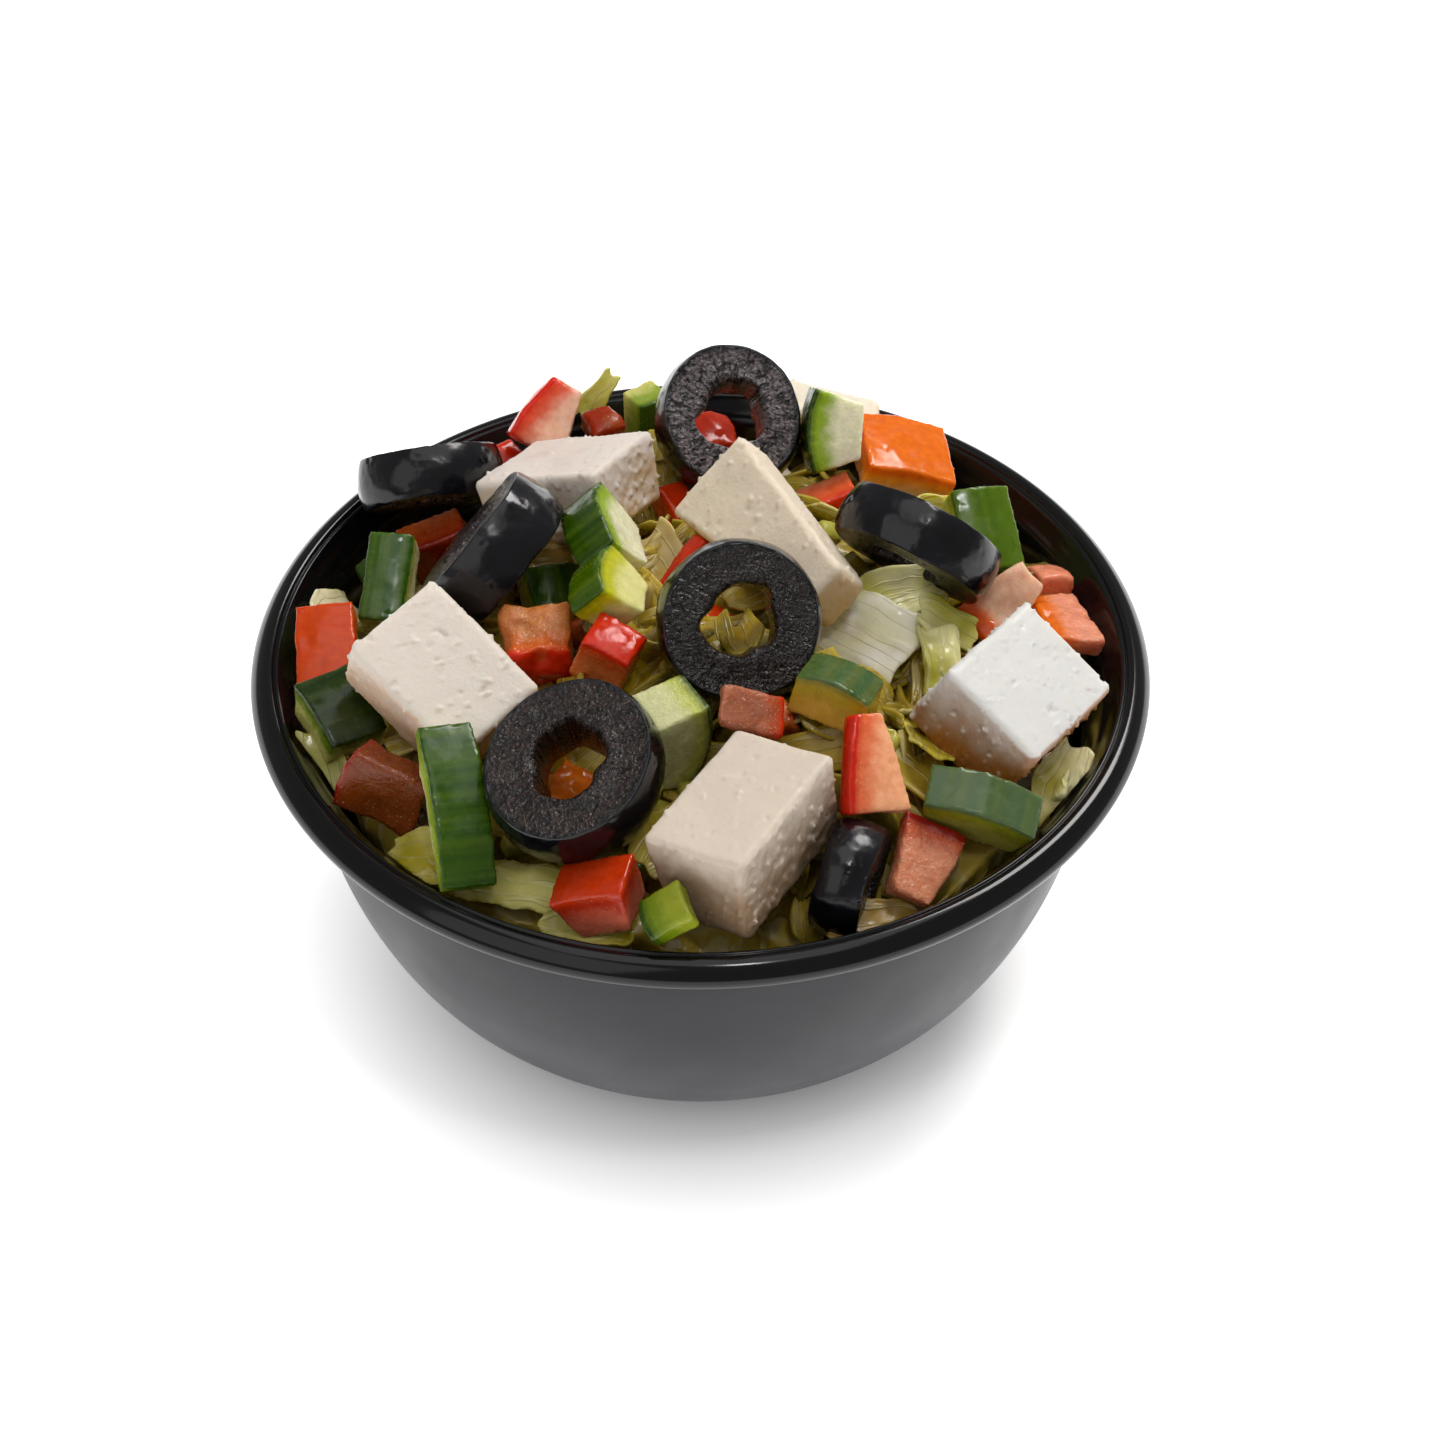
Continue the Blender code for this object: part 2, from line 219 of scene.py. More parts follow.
# %% [markdown]
# ## Shared surface effects
# Food is never one colour and never one gloss. Two small groups serve nearly every material. The first
# gives a soft pattern of a stated size. The second gives a moist surface: a fine bump and a
# roughness that drifts between wet and dry patches.

# %% Shared shader groups
pattern, ends, out = new_group(
    "Soft pattern", "ShaderNodeTree",
    {"Size": (FLOAT, 2.0), "Detail": (FLOAT, 2.0), "Low": (FLOAT, 0.35), "High": (FLOAT, 0.65),
     "Seed": (FLOAT, 0.0)}, {"Value": FLOAT})
place = add(pattern, "ShaderNodeTexCoord").outputs["Object"]
scaled = vector_maths(pattern, "SCALE", place, maths(pattern, "DIVIDE", 1 / MM, ends.outputs["Size"]))
noise = add(pattern, "ShaderNodeTexNoise", {"Vector": scaled, "W": ends.outputs["Seed"], "Scale": 1.0,
            "Detail": ends.outputs["Detail"]}, noise_dimensions="4D")
ranged = add(pattern, "ShaderNodeMapRange", {"Value": noise.outputs[0], "From Min": ends.outputs["Low"],
             "From Max": ends.outputs["High"]})
pattern.links.new(ranged.outputs[0], out.inputs["Value"])

moist, ends, out = new_group(
    "Moist surface", "ShaderNodeTree",
    {"Grain": (FLOAT, 0.5), "Height": (FLOAT, 0.05), "Wet": (FLOAT, 0.2), "Dry": (FLOAT, 0.5)},
    {"Roughness": FLOAT, "Normal": VECTOR})
place = add(moist, "ShaderNodeTexCoord").outputs["Object"]
scaled = vector_maths(moist, "SCALE", place, maths(moist, "DIVIDE", 1 / MM, ends.outputs["Grain"]))
grain = add(moist, "ShaderNodeTexNoise", {"Vector": scaled, "Scale": 1.0, "Detail": 3.0})
patch = add(moist, "ShaderNodeTexNoise", {"Vector": scaled, "Scale": 0.18, "Detail": 2.0})
rough = add(moist, "ShaderNodeMapRange", {"Value": patch.outputs[0], "From Min": 0.35,
            "From Max": 0.65, "To Min": ends.outputs["Wet"], "To Max": ends.outputs["Dry"]})
bump = add(moist, "ShaderNodeBump", {"Strength": 1.0, "Height": grain.outputs[0],
           "Distance": maths(moist, "MULTIPLY", ends.outputs["Height"], MM)})
moist.links.new(rough.outputs[0], out.inputs["Roughness"])
moist.links.new(bump.outputs[0], out.inputs["Normal"])
print("shader groups:", pattern.name, "and", moist.name)


# %% Helpers for materials
def new_material(name, **constants):
    """A material with its Principled shader's constant inputs set on the shader itself."""
    material = bpy.data.materials.new(name)
    material.use_nodes = True
    shader = material.node_tree.nodes["Principled BSDF"]
    for key, value in constants.items():
        shader.inputs[key.replace("_", " ")].default_value = value
    return material, material.node_tree, shader


def use_group(tree, group, inputs=None):
    """Place a shader group in a tree and fill its inputs with values or links."""
    placed = add(tree, "ShaderNodeGroup", node_tree=group)
    for key, value in (inputs or {}).items():
        if isinstance(value, bpy.types.NodeSocket):
            tree.links.new(value, placed.inputs[key])
        else:
            placed.inputs[key].default_value = value
    return placed


def mix(tree, factor, first, second, blend="MIX"):
    """A colour between two colours."""
    return add(tree, "ShaderNodeMix", {0: factor, 6: first, 7: second}, data_type="RGBA",
               blend_type=blend).outputs[2]


def attribute(tree, name):
    """A mesh attribute's node."""
    return add(tree, "ShaderNodeAttribute", attribute_name=name)


def ramp(tree, value, low, high):
    """0 below low, 1 above high, and a smooth rise between."""
    return add(tree, "ShaderNodeMapRange", {"Value": value, "From Min": low, "From Max": high},
               interpolation_type="SMOOTHSTEP").outputs[0]


# %% [markdown]
# ## A tree that turns a shape
# The bowl and the olive slices are both turned: one half section, swept about an upright axis.
# The tree takes a section drawn as a curve in the XZ plane, lays a grid with one row for each of
# its points, and rolls the grid up. A section that closes on itself repeats its first point, and
# the merge at the end welds seam and poles.

# %% The turned shape tree
turned, ends, out = new_group(
    "Turned shape", "GeometryNodeTree",
    {"Section": (GEOMETRY, None), "Steps": (INTEGER, 96), "Stretch": (FLOAT, 1.0),
     "Material": (MATERIAL, None)}, {"Mesh": GEOMETRY})
section, steps = ends.outputs["Section"], ends.outputs["Steps"]
rows = add(turned, "GeometryNodeAttributeDomainSize", {0: section}, component="CURVE")
rows = rows.outputs["Point Count"]
columns = maths(turned, "ADD", steps, 1.0)
grid = add(turned, "GeometryNodeMeshGrid", {"Size X": 1.0, "Size Y": 1.0, "Vertices X": columns,
           "Vertices Y": rows})
index = add(turned, "GeometryNodeInputIndex").outputs[0]
row = maths(turned, "MODULO", index, rows)
column = maths(turned, "FLOOR", maths(turned, "DIVIDE", index, rows))
where = add(turned, "GeometryNodeInputPosition").outputs[0]
sample = add(turned, "GeometryNodeSampleIndex", {"Geometry": section, "Value": where, "Index": row},
             data_type="FLOAT_VECTOR")
point = add(turned, "ShaderNodeSeparateXYZ", {0: sample.outputs[0]})
angle = maths(turned, "MULTIPLY", maths(turned, "DIVIDE", column, steps), 2 * math.pi)
across = maths(turned, "MULTIPLY", point.outputs["X"], maths(turned, "COSINE", angle))
across = maths(turned, "MULTIPLY", across, ends.outputs["Stretch"])
deep = maths(turned, "MULTIPLY", point.outputs["X"], maths(turned, "SINE", angle))
rolled = add(turned, "ShaderNodeCombineXYZ", {0: across, 1: deep, 2: point.outputs["Z"]})
moved = add(turned, "GeometryNodeSetPosition", {"Geometry": grid.outputs["Mesh"],
            "Position": rolled.outputs[0]})
welded = add(turned, "GeometryNodeMergeByDistance", {"Geometry": moved.outputs[0],
             "Distance": 0.001 * MM})
real = add(turned, "GeometryNodeRealizeInstances", {0: welded.outputs[0]})
dressed = add(turned, "GeometryNodeSetMaterial", {"Geometry": real.outputs[0],
              "Material": ends.outputs["Material"]})
turned.links.new(dressed.outputs[0], out.inputs["Mesh"])


def positions(mesh):
    """A mesh's points as an array."""
    flat = np.empty(len(mesh.vertices) * 3, np.float32)
    mesh.vertices.foreach_get("co", flat)
    return flat.reshape(-1, 3).astype(float)


def store(mesh, name, values):
    """Store a number, or a colour, on every point of a mesh."""
    values = np.asarray(values, np.float32)
    kind, field = ("FLOAT", "value") if values.ndim == 1 else ("FLOAT_COLOR", "color")
    layer = mesh.attributes.new(name, kind, "POINT")
    layer.data.foreach_set(field, values.ravel())


def store_colour(mesh, name, colour):
    """Store one colour on every point of a mesh."""
    store(mesh, name, np.tile(colour, (len(mesh.vertices), 1)))


def section_curve(name, points):
    """A section of (radius, height) points in millimetres, as a curve object in the XZ plane."""
    curve = bpy.data.curves.new(name, "CURVE")
    curve.dimensions = "3D"
    spline = curve.splines.new("POLY")
    spline.points.add(len(points) - 1)
    for target, (radius, height) in zip(spline.points, points):
        target.co = (radius * MM, 0, height * MM, 1)
    obj = bpy.data.objects.new(name, curve)
    bpy.context.scene.collection.objects.link(obj)
    return obj


def outward(obj):
    """Point a closed mesh's faces outwards and shade it smooth."""
    bm = bmesh.new()
    bm.from_mesh(obj.data)
    bmesh.ops.recalc_face_normals(bm, faces=bm.faces)
    bm.to_mesh(obj.data)
    bm.free()
    obj.data.shade_smooth()
    return obj


def smooth_path(points, between=5):
    """Points on a smooth curve through some points, by the Catmull-Rom rule."""
    padded = [points[0]] + list(points) + [points[-1]]
    path = []
    for a, b, c, d in zip(padded, padded[1:], padded[2:], padded[3:]):
        for i in range(between):
            t = i / between
            path.append(tuple(
                0.5 * (2 * q + (r - p) * t + (2 * p - 5 * q + 4 * r - s) * t * t
                       + (3 * q - p - 3 * r + s) * t ** 3) for p, q, r, s in zip(a, b, c, d)))
    return path + [points[-1]]


print("turned shape inputs:", [item.name for item in turned.interface.items_tree])

# %% [markdown]
# ## The bowl
# A thin black shell: satin outside, glossy at the rolled lip, where a fine groove runs between
# the inner crest and the outer bead and catches two lines of light. The wall is a rounded
# quarter ellipse, so its radius is a formula of the height.

# %% Bowl section
bowl_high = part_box("bowl")[1]
RIM = bowl_high.x / MM
CREST = bowl_high.z / MM
WALL = 2.2
WALL_TOP = CREST - 5.5
WALL_TOP_RADIUS = RIM - 6.2
WALL_ROUNDNESS = 1.98
FOOT_RADIUS = 26.0
FOOT_RING_WIDTH = 4.0
FOOT_HEIGHT = 1.2
FLOOR = 4.0


def wall_radius(height):
    """Outer radius of the wall at a height, in millimetres."""
    rise = min(max(height / WALL_TOP, 0.0), 1.0)
    swell = (1 - (1 - rise) ** WALL_ROUNDNESS) ** (1 / WALL_ROUNDNESS)
    return FOOT_RADIUS + (WALL_TOP_RADIUS - FOOT_RADIUS) * swell


def bowl_section():
    """Half section, up the inside, over the lip, down the outside and across the foot."""
    inner = [(0.0, FLOOR), (9.0, FLOOR), (18.0, FLOOR + 0.2)]
    inner += [(wall_radius(z) - WALL, z) for z in (5.5, 7, 9, 12, 15, 19, 23, 28, 33, 38, 43)]
    inner += [(RIM - 6.5, CREST - 4.0), (RIM - 5.2, CREST - 2.3), (RIM - 4.3, CREST - 1.0),
              (RIM - 3.8, CREST - 0.4), (RIM - 3.45, CREST - 0.3), (RIM - 3.2, CREST - 0.5)]
    lip = [(RIM - 2.9, CREST - 0.15), (RIM - 2.3, CREST), (RIM - 1.5, CREST - 0.25),
           (RIM - 0.7, CREST - 0.9), (RIM - 0.15, CREST - 1.7), (RIM, CREST - 2.4),
           (RIM - 0.25, CREST - 3.2), (RIM - 1.0, CREST - 3.9), (RIM - 2.4, CREST - 4.5),
           (RIM - 4.4, CREST - 4.9)]
    outer = [(wall_radius(z), z) for z in (45, 42, 38, 33, 28, 23, 18, 14, 11, 8, 6, 4, 2.5, 1.3, 0.5)]
    foot = [(FOOT_RADIUS - 0.6, 0.0), (FOOT_RADIUS - FOOT_RING_WIDTH, 0.0),
            (FOOT_RADIUS - FOOT_RING_WIDTH - 1, FOOT_HEIGHT), (0.0, FOOT_HEIGHT)]
    return smooth_path(inner + lip + outer, 5) + foot


# %% Bowl material
glaze, tree, shader = new_material("Black glaze", Metallic=0.0, IOR=1.5, Specular_IOR_Level=0.35)
height = add(tree, "ShaderNodeSeparateXYZ",
             {0: add(tree, "ShaderNodeTexCoord").outputs["Object"]}).outputs["Z"]
lip_mask = ramp(tree, height, (WALL_TOP - 0.5) * MM, (WALL_TOP + 1.0) * MM)
lip_mask = maths(tree, "MAXIMUM", lip_mask, attribute(tree, "inside").outputs["Fac"])
smudge = use_group(tree, pattern, {"Size": 14.0, "Detail": 3.0}).outputs[0]
satin = maths(tree, "ADD", 0.34, maths(tree, "MULTIPLY", smudge, 0.1))
tree.links.new(add(tree, "ShaderNodeMix", {0: lip_mask, 2: satin, 3: 0.13}).outputs[0],
               shader.inputs["Roughness"])
# painted reflection: the outer body is painted grey for the pale floor's light on it, lighter towards the
# foot; the lip and the inside keep the glaze's black
body = mix(tree, ramp(tree, height, 10 * MM, 34 * MM), display(52, 51, 58), display(31, 30, 35))
tree.links.new(mix(tree, lip_mask, body, display(9, 9, 11)), shader.inputs["Base Color"])
peel = use_group(tree, moist, {"Grain": 1.2, "Height": 0.004}).outputs["Normal"]
tree.links.new(peel, shader.inputs["Normal"])

# %% Bowl
bowl = section_curve("bowl_shell", bowl_section())
apply_tree(bowl, turned, {"Steps": 240, "Stretch": 1.0, "Material": glaze})
bowl = outward(plain_mesh(bowl))
inside = [vert.normal.dot(vert.co - Vector((0, 0, CREST * MM))) < 0 for vert in bowl.data.vertices]
store(bowl.data, "inside", inside)
show(bowl, "black_enamel", "bowl")
print("bowl:", len(bowl.data.polygons), "faces, rim radius", round(RIM, 1), "mm")

# %% [markdown]
# ## From a block to a cut of food
# Every chunk starts as its own solid from the frame, so it is at the right size and place. A
# voxel remesh lays an even fine grid over it and softens its edges, and a Smooth modifier rounds
# them a little more. Then a geometry tree makes it irregular in three ways: a slow wobble that
# bends whole faces, an uneven relief, and small pits. All are noise in space, so neighbouring
# faces of one piece still meet.

# %% The cut surface tree
cut, ends, out = new_group(
    "Cut surface", "GeometryNodeTree",
    {"Geometry": (GEOMETRY, None), "Wobble": (FLOAT, 0.3), "Wobble size": (FLOAT, 6.0),
     "Relief": (FLOAT, 0.1), "Relief size": (FLOAT, 1.5), "Pits": (FLOAT, 0.1),
     "Pit size": (FLOAT, 1.2), "Grains": (FLOAT, 0.0), "Crumble": (FLOAT, 0.0),
     "Crumbled side": (VECTOR, None), "Seed": (FLOAT, 0.0),
     "Material": (MATERIAL, None)}, {"Geometry": GEOMETRY})


def noise_field(tree, size, seed, detail=2.0):
    """A noise texture over space, with features of a size in millimetres."""
    where = add(tree, "GeometryNodeInputPosition").outputs[0]
    scaled = vector_maths(tree, "SCALE", where, maths(tree, "DIVIDE", 1 / MM, size))
    return add(tree, "ShaderNodeTexNoise", {"Vector": scaled, "W": seed, "Scale": 1.0,
               "Detail": detail}, noise_dimensions="4D")


seed = ends.outputs["Seed"]
wander = noise_field(cut, ends.outputs["Wobble size"], seed, 1.0).outputs["Color"]
centred = vector_maths(cut, "SUBTRACT", wander, (0.5, 0.5, 0.5))
drift = vector_maths(cut, "SCALE", centred, maths(cut, "MULTIPLY", ends.outputs["Wobble"], 4 * MM))
rise = maths(cut, "SUBTRACT", noise_field(cut, ends.outputs["Relief size"], seed, 4.0).outputs[0], 0.5)
rise = maths(cut, "MULTIPLY", rise, maths(cut, "MULTIPLY", ends.outputs["Relief"], 4.0))
holes = noise_field(cut, ends.outputs["Pit size"], maths(cut, "ADD", seed, 7.0), 1.0).outputs[0]
holes = add(cut, "ShaderNodeMapRange", {"Value": holes, "From Min": 0.66, "From Max": 0.74}).outputs[0]
rise = maths(cut, "SUBTRACT", rise, maths(cut, "MULTIPLY", holes, ends.outputs["Pits"]))
crumbs = noise_field(cut, 0.9, maths(cut, "ADD", seed, 5.0), 0.0).outputs[0]
crumbs = add(cut, "ShaderNodeMapRange", {"Value": crumbs, "From Min": 0.68, "From Max": 0.78}).outputs[0]
rise = maths(cut, "ADD", rise, maths(cut, "MULTIPLY", crumbs, ends.outputs["Grains"]))
normal = add(cut, "GeometryNodeInputNormal").outputs[0]
turned_to = add(cut, "ShaderNodeVectorMath", {0: normal, 1: ends.outputs["Crumbled side"]},
                operation="DOT_PRODUCT").outputs["Value"]
on_side = add(cut, "ShaderNodeMapRange", {
    "Value": turned_to, "From Min": 0.45, "From Max": 0.75}).outputs[0]
lumps = maths(cut, "SUBTRACT", noise_field(cut, 1.3, maths(cut, "ADD", seed, 3.0), 4.0).outputs[0], 0.58)
lumps = maths(cut, "MULTIPLY", lumps, maths(cut, "MULTIPLY", on_side, ends.outputs["Crumble"]))
rise = maths(cut, "ADD", rise, maths(cut, "MULTIPLY", lumps, 4.0))
push = vector_maths(cut, "SCALE", normal, maths(cut, "MULTIPLY", rise, MM))
rough_cut = add(cut, "GeometryNodeSetPosition", {"Geometry": ends.outputs["Geometry"],
                "Offset": vector_maths(cut, "ADD", drift, push)})
real = add(cut, "GeometryNodeRealizeInstances", {0: rough_cut.outputs[0]})
dressed = add(cut, "GeometryNodeSetMaterial", {"Geometry": real.outputs[0],
              "Material": ends.outputs["Material"]})
cut.links.new(dressed.outputs[0], out.inputs["Geometry"])
print("cut surface inputs:", [item.name for item in cut.interface.items_tree])


# %% Helpers for pieces
def welded_copy(node):
    """A CAD node's mesh, copied and welded, without the normals it was imported with."""
    bm = bmesh.new()
    bm.from_mesh(frame["nodes"][node].data)
    bmesh.ops.remove_doubles(bm, verts=bm.verts, dist=0.001 * MM)
    mesh = bpy.data.meshes.new(node + "_welded")
    bm.to_mesh(mesh)
    bm.free()
    if mesh.attributes.get("custom_normal"):
        mesh.attributes.remove(mesh.attributes["custom_normal"])
    return mesh


def seed_of(name):
    """A fixed number from a name, so that each piece has its own noise."""
    return float(sum((i + 1) * ord(letter) for i, letter in enumerate(name)) % 997)


def sculpted(node, voxel, rounding, material, **cuts):
    """The visual piece of a CAD node: remeshed, rounded and roughened."""
    piece = bpy.data.objects.new(node + "_cut", welded_copy(node))
    bpy.context.scene.collection.objects.link(piece)
    grid = piece.modifiers.new("Even mesh", "REMESH")
    grid.mode = "VOXEL"
    grid.voxel_size = voxel * MM
    soften = piece.modifiers.new("Rounded edges", "SMOOTH")
    soften.factor = 0.5
    soften.iterations = rounding
    settings = {name.replace("_", " ").capitalize(): value for name, value in cuts.items()}
    settings["Material"] = material
    apply_tree(piece, cut, {"Seed": seed_of(node), **settings})
    plain_mesh(piece)
    piece.data.shade_smooth()
    return piece

# %% [markdown]
# ## How deep under the skin
# A chunk of cucumber or tomato has one bulging side, its skin. The other sides are flat cuts. So
# the skin is found from the solid alone: its faces are gathered into smooth sides, and the side
# that bulges most is the skin. Each point of the fine mesh then stores its distance to that side.


# %% Finding the skin
def sides(bm):
    """Groups of faces that run smoothly into each other."""
    left = set(bm.faces)
    while left:
        group, edge_of_group = set(), [left.pop()]
        while edge_of_group:
            face = edge_of_group.pop()
            group.add(face)
            for edge in face.edges:
                for other in edge.link_faces:
                    if other in left and face.normal.angle(other.normal, 0) < math.radians(38):
                        left.discard(other)
                        edge_of_group.append(other)
        yield group


def mean_normal(group):
    """The way a side faces on the whole."""
    return sum((face.normal * face.calc_area() for face in group), Vector()).normalized()


def bulge(group):
    """How far a side's points stand off its mean plane."""
    normal = mean_normal(group)
    heights = [vert.co.dot(normal) for face in group for vert in face.verts]
    return max(heights) - min(heights)


SKIN_FACES = {"tomato_13": Vector((-1.0, -0.6, 0.0))}


def skin_of(node):
    """The skin side of a chunk: a search tree over its faces, its normal and its straight way."""
    bm = bmesh.new()
    bm.from_mesh(welded_copy(node))
    bm.normal_update()
    way = SKIN_FACES.get(node)
    skin = max(sides(bm), key=lambda side: mean_normal(side).dot(way) if way else bulge(side))
    verts = list({vert for face in skin for vert in face.verts})
    number = {vert: i for i, vert in enumerate(verts)}
    faces = [[number[vert] for vert in face.verts] for face in skin]
    tree = BVHTree.FromPolygons([vert.co.copy() for vert in verts], faces)
    normals = np.array([face.normal * face.calc_area() for face in skin])
    spread = np.linalg.svd(normals / np.linalg.norm(normals, axis=1, keepdims=True))[2]
    mean = mean_normal(skin)
    bm.free()
    return tree, mean, Vector(spread[2])


def store_depth(piece, node):
    """Store depth under the skin, and a coordinate across the skin's straight streaks."""
    tree, mean, straight = skin_of(node)
    points = positions(piece.data)
    depth = np.array([tree.find_nearest(Vector(point))[3] for point in points]) / MM
    store(piece.data, "depth", depth)
    across = straight.cross(mean).normalized()
    store(piece.data, "across", points @ np.array(across) / MM)
    return depth


print("skin faces set by hand:", len(SKIN_FACES))

# %% [markdown]
# ## Skin, border, flesh and heart
# One shader group paints every chunk of cucumber and tomato. It reads how deep a point lies and
# passes from the skin's colour through a thin border to flesh, and on to the heart. Noise bends
# the limits between the layers, as they are never straight in a real fruit.

# %% The layers group
layers, ends, out = new_group(
    "Layers", "ShaderNodeTree",
    {"Skin": (COLOUR, None), "Flesh": (COLOUR, None), "Heart": (COLOUR, None),
     "Skin depth": (FLOAT, 0.4), "Border": (FLOAT, 0.8), "Heart from": (FLOAT, 2.0),
     "Heart to": (FLOAT, 6.0), "Streak size": (FLOAT, 1.5), "Streaks": (FLOAT, 0.3)},
    {"Colour": COLOUR, "Skin mask": FLOAT, "Heart mask": FLOAT})
drift = use_group(layers, pattern, {"Size": 1.6, "Detail": 3.0, "Low": 0.0, "High": 1.0}).outputs[0]
bend = maths(layers, "SUBTRACT", drift, 0.5)
depth = attribute(layers, "depth").outputs["Fac"]
near = maths(layers, "ADD", depth, maths(layers, "MULTIPLY", bend, 0.5))
far = maths(layers, "ADD", depth, maths(layers, "MULTIPLY", bend, 2.5))
skin_end = ends.outputs["Skin depth"]
in_flesh = ramp(layers, near, maths(layers, "MULTIPLY", skin_end, 0.6), skin_end)
past_border = ramp(layers, near, skin_end, maths(layers, "ADD", skin_end, ends.outputs["Border"]))
in_heart = ramp(layers, far, ends.outputs["Heart from"], ends.outputs["Heart to"])
streak_place = add(layers, "ShaderNodeCombineXYZ", {0: attribute(layers, "across").outputs["Fac"]})
streak_place = vector_maths(layers, "SCALE", streak_place.outputs[0],
                            maths(layers, "DIVIDE", 1.0, ends.outputs["Streak size"]))
streak = add(layers, "ShaderNodeTexNoise", {"Vector": streak_place, "Scale": 1.0, "Detail": 3.0})
streak = add(layers, "ShaderNodeMapRange", {"Value": streak.outputs[0], "From Min": 0.4,
             "From Max": 0.6}).outputs[0]
streak = maths(layers, "MULTIPLY", streak, ends.outputs["Streaks"])
light_skin = mix(layers, 0.4, ends.outputs["Skin"], ends.outputs["Flesh"])
skin = mix(layers, streak, ends.outputs["Skin"], light_skin)
border = mix(layers, 0.45, ends.outputs["Flesh"], ends.outputs["Skin"])
flesh = mix(layers, past_border, border, ends.outputs["Flesh"])
inside = mix(layers, in_heart, flesh, ends.outputs["Heart"])
layers.links.new(mix(layers, in_flesh, skin, inside), out.inputs["Colour"])
layers.links.new(maths(layers, "SUBTRACT", 1.0, in_flesh), out.inputs["Skin mask"])
layers.links.new(in_heart, out.inputs["Heart mask"])
print("layers inputs:", [item.name for item in layers.interface.items_tree][-9:])


# %% [markdown]
# ## Painted glints on a wet cut
# A cut cell wall holds beads of juice that are smaller than the mesh can show, and they catch the light. So
# a third group paints rare, faint glints into the base colour, only where a second, slower noise says the
# cut is wet.

# %% Painted glints
painted_glints, ends, out = new_group(
    "Sparkles", "ShaderNodeTree",
    {"Colour": (COLOUR, None), "Spark": (COLOUR, (1, 1, 1, 1)), "Amount": (FLOAT, 1.0),
     "Size": (FLOAT, 0.26), "Rarity": (FLOAT, 0.7)}, {"Colour": COLOUR})
dots = use_group(painted_glints, pattern, {"Detail": 0.0, "Seed": 4.0}).inputs
painted_glints.links.new(ends.outputs["Size"], dots["Size"])
painted_glints.links.new(ends.outputs["Rarity"], dots["Low"])
painted_glints.links.new(maths(painted_glints, "ADD", ends.outputs["Rarity"], 0.06), dots["High"])
wet_zone = use_group(painted_glints, pattern, {"Size": 3.5, "Detail": 1.0, "Low": 0.4, "High": 0.55, "Seed": 2.0})
amount = maths(painted_glints, "MULTIPLY", wet_zone.outputs[0], ends.outputs["Amount"])
amount = maths(painted_glints, "MULTIPLY", amount, dots["Size"].node.outputs[0], clamp=True)
painted_glints.links.new(mix(painted_glints, amount, ends.outputs["Colour"], ends.outputs["Spark"]),
                  out.inputs["Colour"])


# %% Materials of the chunks
def mottled(tree, colour, size, amount, dark, light):
    """A colour broken up by a soft pattern between a darker and a lighter version of itself."""
    spots = use_group(tree, pattern, {"Size": size, "Detail": 4.0}).outputs[0]
    shade = mix(tree, spots, dark, light)
    return mix(tree, amount, colour, shade, "MULTIPLY")


def cut_fruit(name, radius, border, heart, streaks, spots, wet):
    """A chunk's material: layered colours, broken up, under a wet uneven surface."""
    material, tree, shader = new_material(
        name, IOR=1.4, Subsurface_Weight=0.5, Subsurface_Scale=0.002, Subsurface_Radius=radius)
    colours = {part.capitalize(): attribute(tree, part).outputs["Color"] for part in CHUNK_PARTS}
    paint = use_group(tree, layers, {
        **colours, "Skin depth": attribute(tree, "rind").outputs["Fac"], "Border": border,
        "Heart from": heart[0], "Heart to": heart[1], "Streaks": streaks})
    mottles = mottled(tree, paint.outputs["Colour"], 1.1, 0.55, *spots)
    grain = attribute(tree, "grain").outputs["Fac"]
    bare = maths(tree, "SUBTRACT", 1.0, paint.outputs["Skin mask"])
    amount = maths(tree, "MULTIPLY", maths(tree, "MULTIPLY", grain, bare), 0.6)
    # painted glints: rare light specks mixed into the cut faces' base colour
    lit = use_group(tree, painted_glints, {"Colour": mottles, "Spark": (0.75, 0.6, 0.45, 1), "Amount": amount})
    tree.links.new(lit.outputs[0], shader.inputs["Base Color"])
    height = maths(tree, "ADD", 0.012, maths(tree, "MULTIPLY", grain, wet[1]))
    height = maths(tree, "MULTIPLY", height, maths(tree, "SUBTRACT", 1.15, paint.outputs["Skin mask"]))
    film = use_group(tree, moist, {"Grain": wet[0], "Height": height, "Wet": wet[2], "Dry": wet[3]})
    tree.links.new(film.outputs["Roughness"], shader.inputs["Roughness"])
    tree.links.new(film.outputs["Normal"], shader.inputs["Normal"])
    return material


CHUNK_PARTS = ("skin", "flesh", "heart")
cucumber_flesh = cut_fruit("Cucumber", (0.9, 1.0, 0.35), 0.9, (1.6, 4.5), 0.3,
                           ((0.78, 0.8, 0.66, 1), (1.06, 1.06, 1.06, 1)), (0.4, 0.14, 0.1, 0.36))
tomato_flesh = cut_fruit("Tomato", (1.6, 0.5, 0.2), 0.6, (1.5, 4.5), 0.0,
                         ((0.85, 0.66, 0.5, 1), (1.1, 1.12, 1.1, 1)), (0.45, 0.2, 0.07, 0.28))
print("chunk materials:", cucumber_flesh.name, "and", tomato_flesh.name)

# %% [markdown]
# ## Cucumber and tomato
# The colours say what each chunk is: a dark rind or a bright one, firm flesh, or the amber gel
# round the seeds. They are written as a screen shows them, skin first, then flesh, then heart.

